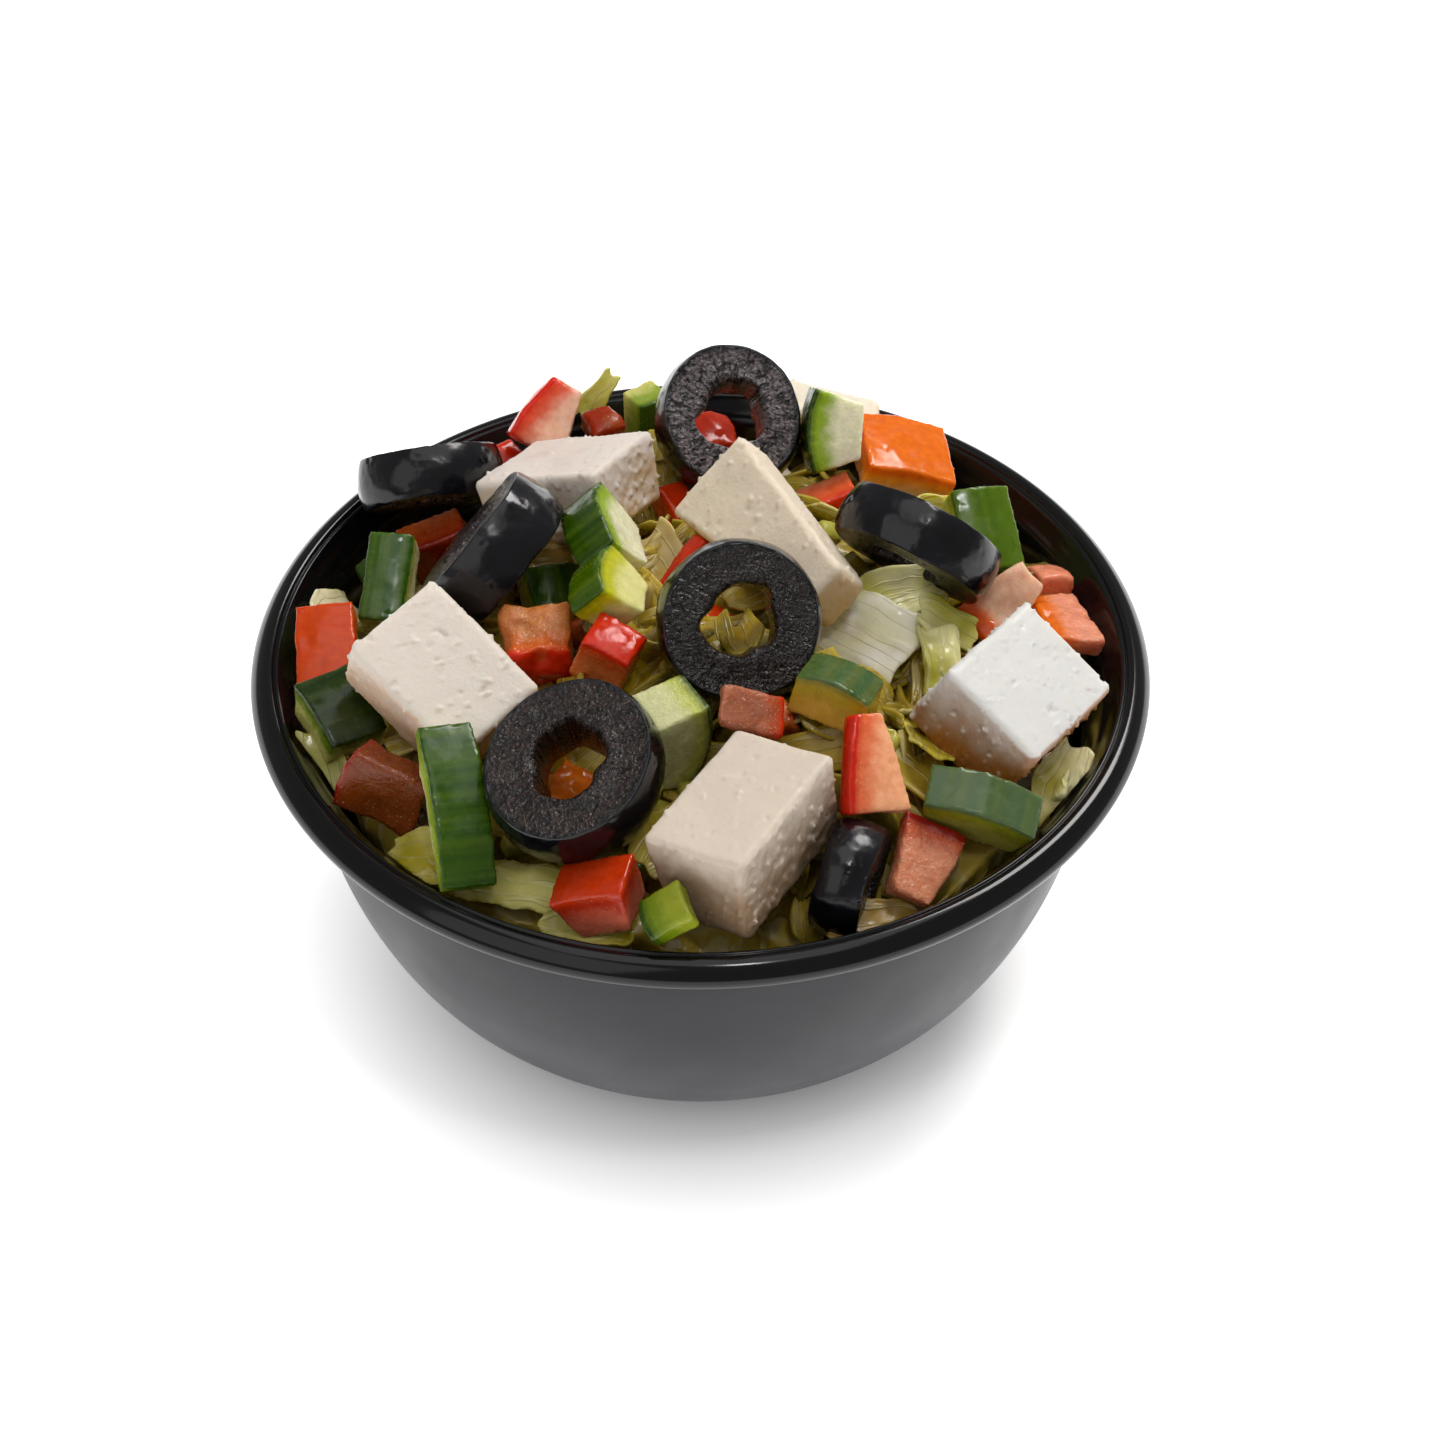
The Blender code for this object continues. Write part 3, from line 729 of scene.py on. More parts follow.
# %% Colours of the chunks
# skin, flesh and heart, then the rind's thickness in millimetres and how grainy the cut is
CUCUMBER_LOOKS = {
    "cucumber_01": ((42, 78, 2), (170, 180, 95), (218, 215, 165), 0.5, 0.3),
    "cucumber_02": ((24, 44, 3), (98, 118, 22), (195, 192, 105), 0.8, 0.2),
    "cucumber_03": ((40, 74, 1), (150, 175, 40), (225, 222, 165), 0.6, 0.2),
    "cucumber_04": ((38, 68, 2), (160, 190, 50), (238, 234, 198), 0.5, 0.4),
    "cucumber_05": ((50, 86, 2), (196, 196, 10), (232, 226, 150), 0.5, 0.4),
    # cucumber_06 and cucumber_07 have greyed skin colours: a painted sheen from the light on their tops
    "cucumber_06": ((62, 92, 44), (178, 150, 30), (208, 160, 62), 0.6, 0.3),
    "cucumber_07": ((74, 96, 62), (140, 142, 20), (178, 168, 70), 0.7, 0.2),
    "cucumber_08": ((36, 58, 4), (150, 178, 40), (242, 236, 208), 0.7, 0.4),
    "cucumber_09": ((72, 102, 1), (150, 168, 40), (205, 205, 120), 0.6, 0.2),
    "cucumber_10": ((38, 62, 10), (188, 192, 96), (208, 208, 156), 0.9, 1.0),
    "cucumber_11": ((40, 66, 1), (112, 132, 10), (150, 158, 40), 0.9, 0.2),
    "cucumber_12": ((46, 80, 2), (140, 160, 55), (205, 200, 120), 0.6, 0.3),
    "cucumber_13": ((42, 78, 8), (150, 160, 40), (205, 200, 110), 0.5, 0.3),
    "cucumber_14": ((40, 74, 6), (150, 155, 40), (200, 190, 105), 0.5, 0.4),
    "cucumber_15": ((50, 80, 8), (145, 145, 35), (200, 185, 95), 0.5, 0.4),
    "cucumber_16": ((36, 68, 8), (145, 155, 50), (200, 195, 115), 0.5, 0.3),
}
TOMATO_LOOKS = {
    "tomato_01": ((212, 40, 12), (226, 92, 60), (242, 196, 172), 1.0, 0.1),
    "tomato_02": ((196, 66, 6), (190, 84, 20), (206, 110, 46), 0.8, 0.4),
    "tomato_03": ((140, 26, 8), (134, 60, 16), (128, 62, 18), 0.7, 0.5),
    "tomato_04": ((206, 42, 10), (206, 98, 38), (190, 118, 60), 0.9, 0.9),
    "tomato_05": ((200, 40, 8), (206, 86, 34), (214, 116, 60), 0.8, 0.8),
    "tomato_06": ((206, 44, 14), (182, 84, 52), (168, 104, 76), 1.0, 0.8),
    "tomato_07": ((196, 34, 8), (220, 112, 70), (240, 172, 130), 0.9, 0.4),
    "tomato_08": ((128, 16, 6), (196, 88, 56), (214, 138, 104), 1.3, 1.0),
    "tomato_09": ((182, 50, 8), (172, 44, 18), (206, 108, 84), 0.8, 0.5),
    "tomato_10": ((228, 112, 12), (242, 158, 30), (236, 196, 138), 1.4, 0.1),
    "tomato_11": ((218, 56, 10), (226, 92, 46), (234, 140, 104), 0.8, 0.2),
    "tomato_12": ((226, 92, 10), (232, 130, 50), (238, 196, 168), 3.0, 0.2),
    "tomato_13": ((226, 110, 10), (226, 128, 60), (228, 146, 114), 2.6, 0.9),
    "tomato_14": ((210, 50, 14), (214, 74, 28), (220, 104, 52), 0.6, 0.9),
    "tomato_15": ((190, 50, 8), (205, 84, 24), (215, 112, 42), 0.6, 0.4),
    "tomato_16": ((128, 30, 4), (146, 52, 14), (168, 80, 30), 0.8, 0.3),
    "tomato_17": ((196, 98, 14), (200, 112, 30), (206, 130, 56), 0.8, 1.0),
    "tomato_18": ((150, 42, 10), (150, 76, 30), (146, 122, 70), 0.6, 0.5),
    "tomato_19": ((205, 55, 10), (210, 86, 28), (215, 112, 52), 0.6, 0.4),
    "tomato_20": ((205, 45, 12), (215, 90, 50), (225, 132, 92), 0.8, 0.4),
    "tomato_21": ((222, 138, 106), (222, 112, 72), (230, 146, 112), 0.6, 0.9),
    "tomato_22": ((176, 40, 8), (170, 52, 14), (176, 70, 24), 0.6, 0.1),
}


# %% Chunks
def paint_chunk(piece, look):
    """Store a chunk's three colours, its rind and its grain."""
    *palette, rind, grain = look
    for part, colour in zip(CHUNK_PARTS, palette):
        store_colour(piece.data, part, display(*colour))
    store(piece.data, "rind", np.full(len(piece.data.vertices), rind))
    store(piece.data, "grain", np.full(len(piece.data.vertices), grain))


# the soft seedy chunks are lumpier than the firm ones
LUMPY = {"tomato_22": 0.8, "tomato_03": 0.3, "tomato_04": 0.9, "tomato_06": 0.5, "tomato_12": 0.4,
         "tomato_13": 0.5, "tomato_17": 0.8, "tomato_18": 0.5, "tomato_08": 0.25}


def dice(looks, slot, material, wobble, relief, pits):
    """Make every chunk of one kind, with its depth under the skin and its colours."""
    made = 0
    for node, look in looks.items():
        soft = LUMPY.get(node, 0.0)
        piece = sculpted(node, 0.36, 2 + round(24 * soft), material,
                         wobble=wobble + 0.5 * soft, wobble_size=7.0 - 3.0 * soft,
                         relief=relief * (0.4 + look[-1]), relief_size=1.6, pits=pits * look[-1],
                         pit_size=1.3)
        store_depth(piece, node)
        paint_chunk(piece, look)
        show(piece, slot, node)
        made += len(piece.data.polygons)
    return made


faces = dice(CUCUMBER_LOOKS, "cucumber", cucumber_flesh, 0.22, 0.05, 0.08)
print("cucumber:", len(CUCUMBER_LOOKS), "pieces,", faces, "faces")
faces = dice(TOMATO_LOOKS, "tomato", tomato_flesh, 0.32, 0.08, 0.15)
print("tomato:", len(TOMATO_LOOKS), "pieces,", faces, "faces")

# %% [markdown]
# ## Feta
# Feta is dense and chalky. Its cut faces are nearly flat, with pin holes and fine crumbs. Its
# side faces and lower end are painted a warm tan and golden shade.

# %% Feta material
feta_cheese, tree, shader = new_material(
    "Feta", IOR=1.4, Subsurface_Weight=0.35, Subsurface_Scale=0.0025,
    Subsurface_Radius=(1.0, 0.8, 0.55))
# painted shade: side and lower faces run from the curd's colour to a warm tan shade colour
soak = attribute(tree, "soak").outputs["Fac"]
patches = use_group(tree, pattern, {"Size": 5.0, "Detail": 4.0, "Low": 0.2, "High": 0.8}).outputs[0]
shade_amount = maths(tree, "ADD", soak, maths(tree, "MULTIPLY", maths(tree, "SUBTRACT", patches, 0.5), 0.5))
shade_amount = ramp(tree, shade_amount, 0.15, 1.0)
curd = mix(tree, shade_amount, attribute(tree, "curd").outputs["Color"],
           attribute(tree, "stain").outputs["Color"])
grains = use_group(tree, pattern, {"Size": 0.9, "Detail": 3.0, "Low": 0.6, "High": 0.8}).outputs[0]
tree.links.new(mix(tree, maths(tree, "MULTIPLY", grains, 0.3), curd, display(212, 190, 158)),
               shader.inputs["Base Color"])
chalk = use_group(tree, moist, {"Grain": 0.55, "Height": 0.07, "Wet": 0.34, "Dry": 0.7})
tree.links.new(chalk.outputs["Roughness"], shader.inputs["Roughness"])
tree.links.new(chalk.outputs["Normal"], shader.inputs["Normal"])

# %% Feta
# the curd's colour, the colour of its painted shade, how strong that shade is, and the side
# that broke instead of being cut, with how far it crumbled
FETA_LOOKS = {
    "feta_back_left": ((220, 208, 198), (196, 150, 70), 0.8, (0.8, -0.5, 0.1), 0.16),
    "feta_middle": ((226, 210, 188), (216, 180, 122), 0.9, (0.6, 0.3, 0.7), 0.08),
    "feta_left": ((226, 215, 203), (206, 164, 128), 1.0, (-0.6, -0.8, 0.0), 0.06),
    "feta_front": ((214, 200, 184), (140, 114, 88), 1.2, (0.9, -0.4, 0.0), 0.3),
    "feta_right": ((218, 216, 212), (156, 98, 40), 1.15, (-0.9, -0.3, 0.0), 0.04),
    "feta_back": ((234, 224, 204), (205, 180, 135), 0.9, (0.0, -1.0, 0.0), 0.1),
}


def store_painted_shade(piece, curd, stain, strength):
    """Painted shade: faces that look sideways or down, and the lower end of a block, turn tan."""
    mesh = piece.data
    normals = np.array([vert.normal for vert in mesh.vertices])
    heights = positions(mesh)[:, 2]
    low = 1 - (heights - heights.min()) / (heights.max() - heights.min())
    tilt = np.clip((0.7 - normals[:, 2]) / 0.5, 0, 1)
    store(mesh, "soak", strength * tilt * (0.25 + 0.9 * low))
    store_colour(mesh, "curd", display(*curd))
    store_colour(mesh, "stain", display(*stain))


faces = 0
for node, (curd, stain, strength, side, crumble) in FETA_LOOKS.items():
    block = sculpted(node, 0.4, 1, feta_cheese, wobble=0.2, wobble_size=9.0, relief=0.05,
                     relief_size=2.6, pits=0.4, pit_size=1.5, grains=0.4, crumble=crumble,
                     crumbled_side=side)
    store_painted_shade(block, curd, stain, strength)
    show(block, "feta", node)
    faces += len(block.data.polygons)
print("feta:", len(FETA_LOOKS), "blocks,", faces, "faces")

# %% [markdown]
# ## Olives
# Each slice is a thick ring: a tight black skin outside, and two cut faces whose fibres run out
# from the hole. The solid from the frame gives the middle, the axis, both radii and the
# thickness. The ring is turned from a section with rounded edges, then roughened, and every
# point keeps its place in the slice's own frame, where the material draws the fibres.


# %% Measuring an olive slice
def slice_frame(node):
    """Middle, axes (long, short, axis), outer and hole radius, half thickness and stretch."""
    points = positions(frame["nodes"][node].data) / MM
    points = np.unique(points.round(3), axis=0)
    middle = (points.max(0) + points.min(0)) / 2
    for _ in range(3):
        values, axes = np.linalg.eigh(np.cov((points - middle).T))
        local = (points - middle) @ axes[:, ::-1]
        middle = middle + axes[:, ::-1] @ ((local.max(0) + local.min(0)) / 2)
    axes = axes[:, ::-1]
    if np.linalg.det(axes) < 0:
        axes[:, 1] *= -1
    if axes[2, 2] < 0:
        axes[:, 1:] *= -1
    local = (points - middle) @ axes
    outer = np.abs(local[:, 1]).max()
    hole = np.hypot(local[:, 0], local[:, 1]).min()
    return middle, axes, outer, hole, np.abs(local[:, 2]).max(), np.abs(local[:, 0]).max() / outer


# %% Olive material
fibres, ends, out = new_group(
    "Radial fibres", "ShaderNodeTree", {"Count": (FLOAT, 6.0), "Low": (FLOAT, 0.36), "High": (FLOAT, 0.46)},
    {"Fibres": FLOAT})
place = attribute(fibres, "slice").outputs["Vector"]
flat = vector_maths(fibres, "MULTIPLY", place, (1.0, 1.0, 0.0))
radius = add(fibres, "ShaderNodeVectorMath", {0: flat}, operation="LENGTH").outputs["Value"]
around = vector_maths(fibres, "SCALE", vector_maths(fibres, "NORMALIZE", flat), ends.outputs["Count"])
along = add(fibres, "ShaderNodeCombineXYZ", {2: maths(fibres, "MULTIPLY", radius, 0.55)})
ray = add(fibres, "ShaderNodeTexNoise", {"Vector": vector_maths(fibres, "ADD", around, along.outputs[0]),
          "Scale": 1.0, "Detail": 3.0})
fibres.links.new(ramp(fibres, ray.outputs[0], ends.outputs["Low"], ends.outputs["High"]),
                 out.inputs["Fibres"])

olive_black, tree, shader = new_material("Black olive", IOR=1.45)
depth = attribute(tree, "depth").outputs["Fac"]
on_face = ramp(tree, depth, 0.1, 0.45)
rays = use_group(tree, fibres, {"Count": 9.0, "Low": 0.4, "High": 0.47})
fine = use_group(tree, pattern, {"Size": 0.55, "Detail": 4.0, "Low": 0.38, "High": 0.62}).outputs[0]
face = mix(tree, fine, display(12, 7, 5), attribute(tree, "face").outputs["Color"])
face = mix(tree, maths(tree, "SUBTRACT", 1.0, rays.outputs["Fibres"]), face, display(18, 12, 10))
rind = mix(tree, ramp(tree, depth, 0.3, 1.0), display(14, 11, 11), face)
bloom = use_group(tree, pattern, {"Size": 4.0, "Detail": 4.0}).outputs[0]
skin = mix(tree, bloom, display(5, 5, 7), display(16, 14, 20))
# painted glints: light specks mixed into the cut faces' base colour
lit = use_group(tree, painted_glints, {"Colour": mix(tree, on_face, skin, rind), "Size": 0.32, "Rarity": 0.69,
                "Spark": display(112, 100, 98), "Amount": maths(tree, "MULTIPLY", on_face, 0.7)})
tree.links.new(lit.outputs[0], shader.inputs["Base Color"])
wet = use_group(tree, moist, {"Grain": 0.5, "Height": 0.34, "Wet": 0.04, "Dry": 0.16})
smooth = use_group(tree, moist, {"Grain": 0.9, "Height": 0.03, "Wet": 0.12, "Dry": 0.26})
ray_bump = add(tree, "ShaderNodeBump", {"Strength": 1.0, "Distance": 0.25 * MM,
               "Height": rays.outputs["Fibres"], "Normal": wet.outputs["Normal"]})
tree.links.new(add(tree, "ShaderNodeMix", {0: on_face, 2: smooth.outputs[0], 3: wet.outputs[0]}).outputs[0],
               shader.inputs["Roughness"])
tree.links.new(add(tree, "ShaderNodeMix", {0: on_face, 4: smooth.outputs[1], 5: ray_bump.outputs[0]},
               data_type="VECTOR").outputs[1], shader.inputs["Normal"])

# %% Olives
OLIVE_BARREL = 0.7
OLIVE_FACES = {
    "olive_back": (104, 92, 94),
    "olive_middle": (30, 18, 12),
    "olive_front": (48, 32, 25),
    "olive_left": (40, 28, 24),
    "olive_rim": (92, 62, 42),
    "olive_right": (48, 38, 40),
    "olive_low": (34, 34, 42),
}


END_SLICES = ("olive_low",)


def olive_section(outer, hole, half):
    """A thick ring's section: flat faces, crisp edges and a barrel skin, in millimetres."""
    edge = outer - OLIVE_BARREL
    top = [(hole - 0.1, half - 0.8), (hole + 0.15, half - 0.25)]
    top += [(hole + 0.5 + (edge - hole - 1.0) * t, half - 0.02 - 0.12 * math.sin(math.pi * t))
            for t in (0.0, 0.17, 0.33, 0.5, 0.67, 0.83, 1.0)]
    top += [(edge - 0.1, half), (edge, half - 0.1)]
    side = [(outer - OLIVE_BARREL * (z / half) ** 2, z) for z in (half - 0.3, half * 0.7, half * 0.35)]
    upper = top + side
    lower = [(radius, -z) for radius, z in reversed(upper)]
    ring = upper + [(outer, 0.0)] + lower + [(hole - 0.3, 0.0)]
    return smooth_path(ring + [ring[0]], 4)


def ragged_hole(local, hole, seed):
    """Pull the points round the hole in and out, as a stoning tool leaves it."""
    angle = np.arctan2(local[:, 1], local[:, 0])
    radius = np.hypot(local[:, 0], local[:, 1])
    near = np.clip(1 - (radius - hole) / 1.8, 0, 1) ** 1.5
    uneven = sum(size * np.sin(count * angle + seed * count)
                 for count, size in ((2, 0.3), (3, 0.3), (5, 0.25), (8, 0.14)))
    factor = 1 + near * (uneven - 0.25) / radius
    return local * np.stack([factor, factor, np.ones(len(local))], 1)


def olive_ring(node, colour):
    """A detailed olive slice in the place of its solid."""
    middle, axes, outer, hole, half, stretch = slice_frame(node)
    hole = min(hole, 0.3 * outer) if node in END_SLICES else hole
    ring = section_curve(node + "_ring", olive_section(outer, hole, half))
    apply_tree(ring, turned, {"Steps": 176, "Stretch": float(stretch), "Material": olive_black})
    ring = outward(plain_mesh(ring))
    local = ragged_hole(positions(ring.data) / MM, hole, seed_of(node))
    height = np.abs(local[:, 2]) / half
    radius = np.hypot(local[:, 0] / stretch, local[:, 1])
    depth = np.clip(outer - OLIVE_BARREL * height ** 2 - radius, 0, None)
    layer = ring.data.attributes.new("slice", "FLOAT_VECTOR", "POINT")
    layer.data.foreach_set("vector", (local / [stretch, 1, 1]).astype(np.float32).ravel())
    store(ring.data, "depth", depth)
    store_colour(ring.data, "face", display(*colour))
    ring.data.vertices.foreach_set("co", (local * MM).astype(np.float32).ravel())
    turn = Matrix(axes.tolist()).to_4x4()
    ring.data.transform(Matrix.Translation(Vector(middle) * MM) @ turn)
    apply_tree(ring, cut, {"Wobble": 0.28, "Wobble size": 8.0, "Relief": 0.05, "Relief size": 1.2,
                           "Pits": 0.15, "Pit size": 1.2, "Seed": seed_of(node), "Material": olive_black})
    return show(outward(plain_mesh(ring)), "olive", node)


for node, colour in OLIVE_FACES.items():
    ring = olive_ring(node, colour)
print("olives:", len(OLIVE_FACES), "slices of", len(ring.data.polygons), "faces")

# %% [markdown]
# ## Lettuce
# The leaves are thin and crisp, cream by the rib and yellow-green at the edge. Veins branch
# through them and stand up a little.

# %% Lettuce material
lettuce_leaf, tree, shader = new_material(
    "Lettuce", IOR=1.4, Subsurface_Weight=0.3, Subsurface_Scale=0.002,
    Subsurface_Radius=(0.8, 1.0, 0.3))
over = add(tree, "ShaderNodeCombineXYZ", {0: attribute(tree, "across").outputs["Fac"]}).outputs[0]
sway = use_group(tree, pattern, {"Size": 9.0, "Detail": 1.0, "Low": 0.0, "High": 1.0}).outputs[0]
over = vector_maths(tree, "ADD", over, maths(tree, "MULTIPLY", sway, 3.0))
veins = add(tree, "ShaderNodeTexNoise", {"Vector": over, "Scale": 0.5, "Detail": 2.0}).outputs[0]
veins = maths(tree, "ABSOLUTE", maths(tree, "SUBTRACT", veins, 0.5))
veins = maths(tree, "SUBTRACT", 1.0, ramp(tree, veins, 0.0, 0.05))
zones = use_group(tree, pattern, {"Size": 8.0, "Detail": 2.0, "Low": 0.38, "High": 0.62}).outputs[0]
blade = mix(tree, zones, attribute(tree, "pale").outputs["Color"],
            attribute(tree, "green").outputs["Color"])
tree.links.new(mix(tree, maths(tree, "MULTIPLY", veins, 0.22), blade, display(244, 238, 200)),
               shader.inputs["Base Color"])
wet = use_group(tree, moist, {"Grain": 1.2, "Height": 0.06, "Wet": 0.1, "Dry": 0.38})
vein_bump = add(tree, "ShaderNodeBump", {"Strength": 1.0, "Distance": 0.12 * MM, "Height": veins,
                "Normal": wet.outputs["Normal"]})
tree.links.new(wet.outputs["Roughness"], shader.inputs["Roughness"])
tree.links.new(vein_bump.outputs[0], shader.inputs["Normal"])


# %% Leaves
LEAF_COLOURS = {
    "lettuce_01": ((252, 247, 230), (234, 228, 176)),
    "lettuce_02": ((205, 196, 112), (160, 150, 24)),
    "lettuce_03": ((228, 222, 170), (178, 172, 66)),
    "lettuce_04": ((226, 220, 160), (176, 172, 56)),
    "lettuce_05": ((205, 192, 110), (150, 134, 20)),
    "lettuce_06": ((205, 198, 112), (130, 134, 25)),
}


def paint_leaf(piece, pale, green):
    """Store a leaf's two colours, and a coordinate across its veins."""
    points = positions(piece.data) / MM
    spread = np.linalg.svd(points - points.mean(0), full_matrices=False)[2]
    if not piece.data.attributes.get("across"):
        store(piece.data, "across", points @ spread[1])
    store_colour(piece.data, "pale", display(*pale))
    store_colour(piece.data, "green", display(*green))


for node, (pale, green) in LEAF_COLOURS.items():
    leaf = sculpted(node, 0.35, 2, lettuce_leaf, wobble=0.6, wobble_size=5.0, relief=0.12,
                    relief_size=3.0, pits=0.0, pit_size=1.4)
    paint_leaf(leaf, pale, green)
    show(leaf, "lettuce", node)
print("lettuce:", len(LEAF_COLOURS), "leaves")

# %% [markdown]
# ## The bed
# Under the big pieces lies a bed of shredded lettuce with small bits between. The frame holds it
# as one solid. Here that solid shrinks by a millimetre to a softly uneven core. Strips, shreds
# and bits then lie over the core wherever there is room between the pieces.

# %% The core
CORE_SHRINK = 1.0
core = bpy.data.objects.new("bed_core", welded_copy("salad_bed"))
bpy.context.scene.collection.objects.link(core)
shrink = bmesh.new()
shrink.from_mesh(core.data)
shrink.normal_update()
for vert in shrink.verts:
    vert.co -= vert.normal * CORE_SHRINK * MM
shrink.to_mesh(core.data)
shrink.free()
core.modifiers.new("Even mesh", "REMESH").voxel_size = 0.8 * MM
apply_tree(core, cut, {"Wobble": 0.5, "Wobble size": 5.0, "Relief": 0.3, "Relief size": 3.0,
                       "Pits": 0.0, "Pit size": 2.2, "Seed": 3.0, "Material": lettuce_leaf})
plain_mesh(core)
core.data.shade_smooth()
store(core.data, "across", np.zeros(len(core.data.vertices)))
paint_leaf(core, (192, 166, 66), (136, 112, 18))
show(core, "lettuce", "salad_bed")
print("core:", len(core.data.polygons), "faces")


# %% [markdown]
# ## Strips laid one by one
# Where a wide gap shows one clear piece of leaf, a strip is laid there. It is a small grid,
# narrowed at its ends, curled and given a thickness. Against the bowl's wall it bends inwards.

# %% Strips of leaf
def leaf_strip(name, size, curl, seed, cells=(18, 8)):
    """A curved strip of leaf: a grid bent two ways, with a wavy edge and a rounded tip."""
    bm = bmesh.new()
    bmesh.ops.create_grid(bm, x_segments=cells[0], y_segments=cells[1], size=0.5)
    phase = np.random.default_rng(seed).uniform(0, 2 * math.pi, 4)
    across_vein = {}
    for vert in bm.verts:
        u, v = vert.co.x, vert.co.y
        narrow = 1 - 1.4 * u * u + 0.12 * math.sin(7 * u + phase[0])
        wave = 0.5 * v * math.sin(5 * u + phase[1]) + 0.3 * math.sin(4 * u + phase[2])
        vert.co = Vector((size[0] * u + 0.5 * math.sin(9 * v + phase[3]), size[1] * v * narrow,
                          curl * (4 * v * v - 2 * u * u) + wave)) * MM
        across_vein[vert.index] = size[1] * v
    mesh = bpy.data.meshes.new(name)
    bm.to_mesh(mesh)
    bm.free()
    store(mesh, "across", [across_vein[i] for i in range(len(mesh.vertices))])
    bm = bmesh.new()
    bm.from_mesh(mesh)
    bmesh.ops.solidify(bm, geom=bm.faces[:], thickness=0.5 * MM)
    bm.to_mesh(mesh)
    bm.free()
    return mesh


LEAF_ROOM = 0.5
WALL_STEPS = [5.5, 9, 15, 23, 33, 43]
INSIDE = [(z, wall_radius(z) - WALL) for z in WALL_STEPS]
INSIDE += [(CREST - 4.0, RIM - 6.5), (CREST - 2.3, RIM - 5.2), (CREST - 1.0, RIM - 4.3)]


def tuck_inside(piece):
    """Bend a leaf in where it would meet the bowl's wall, as a real leaf does against it."""
    heights, radii = zip(*INSIDE)
    for vert in piece.data.vertices:
        reach = math.hypot(vert.co.x, vert.co.y)
        room = (np.interp(vert.co.z / MM, heights, radii) - LEAF_ROOM) * MM
        if reach > room and vert.co.z < CREST * MM:
            vert.co.x, vert.co.y = vert.co.x * room / reach, vert.co.y * room / reach


# size, curl, place, turn, and the two colours
STRIPS = {
    "strip_01": ((13, 8), 1.0, (26.0, 6.0, 56.0), (30, -8, 20), (226, 222, 168), (188, 182, 70)),
    "strip_02": ((12, 11), 0.6, (4.2, -6.0, 57.0), (24, 4, 40), (168, 140, 26), (128, 100, 6)),
    "strip_03": ((9, 3.2), 0.4, (-15.0, 50.0, 56.2), (70, -58, 10), (232, 228, 156), (214, 214, 104)),
    "strip_04": ((7, 6), 0.6, (32.8, 25.0, 54.5), (50, 10, 20), (232, 214, 90), (214, 186, 22)),
    "strip_05": ((12, 8), 0.8, (-35.5, -38.0, 49.6), (24, -20, -38), (204, 194, 110), (166, 152, 26)),
    "strip_06": ((12, 7), 0.8, (-49.0, 10.0, 50.2), (30, 34, 70), (222, 212, 172), (186, 174, 92)),
    "strip_07": ((12, 8), 0.9, (46.8, -25.0, 50.0), (30, -30, 62), (226, 216, 160), (172, 160, 60)),
    "strip_08": ((13, 8), 0.8, (-7.0, -10.5, 57.2), (30, 6, 70), (186, 160, 40), (140, 114, 8)),
    "strip_09": ((11, 8), 0.8, (-5.0, 11.0, 57.8), (36, 10, -60), (222, 202, 150), (186, 160, 84)),
    "strip_10": ((11, 7), 0.4, (29.5, -20.0, 54.4), (30, 14, 100), (236, 222, 96), (214, 190, 24)),
    "strip_11": ((11, 6), 0.7, (-48.6, -19.5, 48.6), (20, 36, -66), (206, 200, 130), (160, 156, 52)),
    "strip_12": ((12, 7), 0.7, (-14.0, -49.8, 49.4), (20, -8, -10), (196, 186, 96), (150, 136, 18)),
    "strip_13": ((12, 7), 0.7, (-21.0, 12.5, 56.6), (34, 10, 24), (176, 142, 70), (138, 104, 30)),
    "strip_14": ((10, 6), 0.6, (33.0, 1.0, 55.6), (30, 40, 10), (228, 222, 160), (180, 178, 60)),
    "strip_15": ((14, 8), 0.8, (-14.0, -22.0, 55.0), (26, -14, 50), (178, 152, 50), (128, 100, 8)),
    # strip_16 lies where there is only shade, so its colours are darkened: painted shade
    "strip_16": ((12, 7), 0.5, (22.0, -47.0, 47.6), (22, 12, 14), (150, 118, 40), (96, 72, 6)),
    "strip_17": ((12, 7), 0.8, (44.0, 19.0, 49.8), (-8, 26, 70), (150, 130, 60), (96, 84, 12)),
    "strip_18": ((12, 8), 0.8, (-4.0, -37.0, 52.4), (28, 8, 60), (178, 160, 74), (128, 112, 14)),
}
for name, (size, curl, place, angles, pale, green) in STRIPS.items():
    strip = bpy.data.objects.new(name, leaf_strip(name, size, curl, int(seed_of(name))))
    bpy.context.scene.collection.objects.link(strip)
    turn = Euler([math.radians(angle) for angle in angles]).to_matrix().to_4x4()
    strip.data.transform(Matrix.Translation(Vector(place) * MM) @ turn)
    strip.modifiers.new("Smooth leaf", "SUBSURF").levels = 1
    apply_tree(strip, cut, {"Wobble": 0.25, "Wobble size": 3.0, "Relief": 0.05, "Relief size": 1.5,
                            "Seed": seed_of(name), "Material": lettuce_leaf})
    plain_mesh(strip)
    tuck_inside(strip)
    strip.data.shade_smooth()
    paint_leaf(strip, pale, green)
    show(strip, "lettuce")
print("strips of leaf:", len(STRIPS), "of", len(strip.data.polygons), "faces")

# %% [markdown]
# ## Scattering the rest
# Shreds and crumbs fill the small gaps. A geometry tree drops points on the core's upper faces,
# deletes those too near a piece or too near the wall, and puts a turned copy of one small mesh on
# each point that is left. The copied meshes have few faces, because they repeat so often.

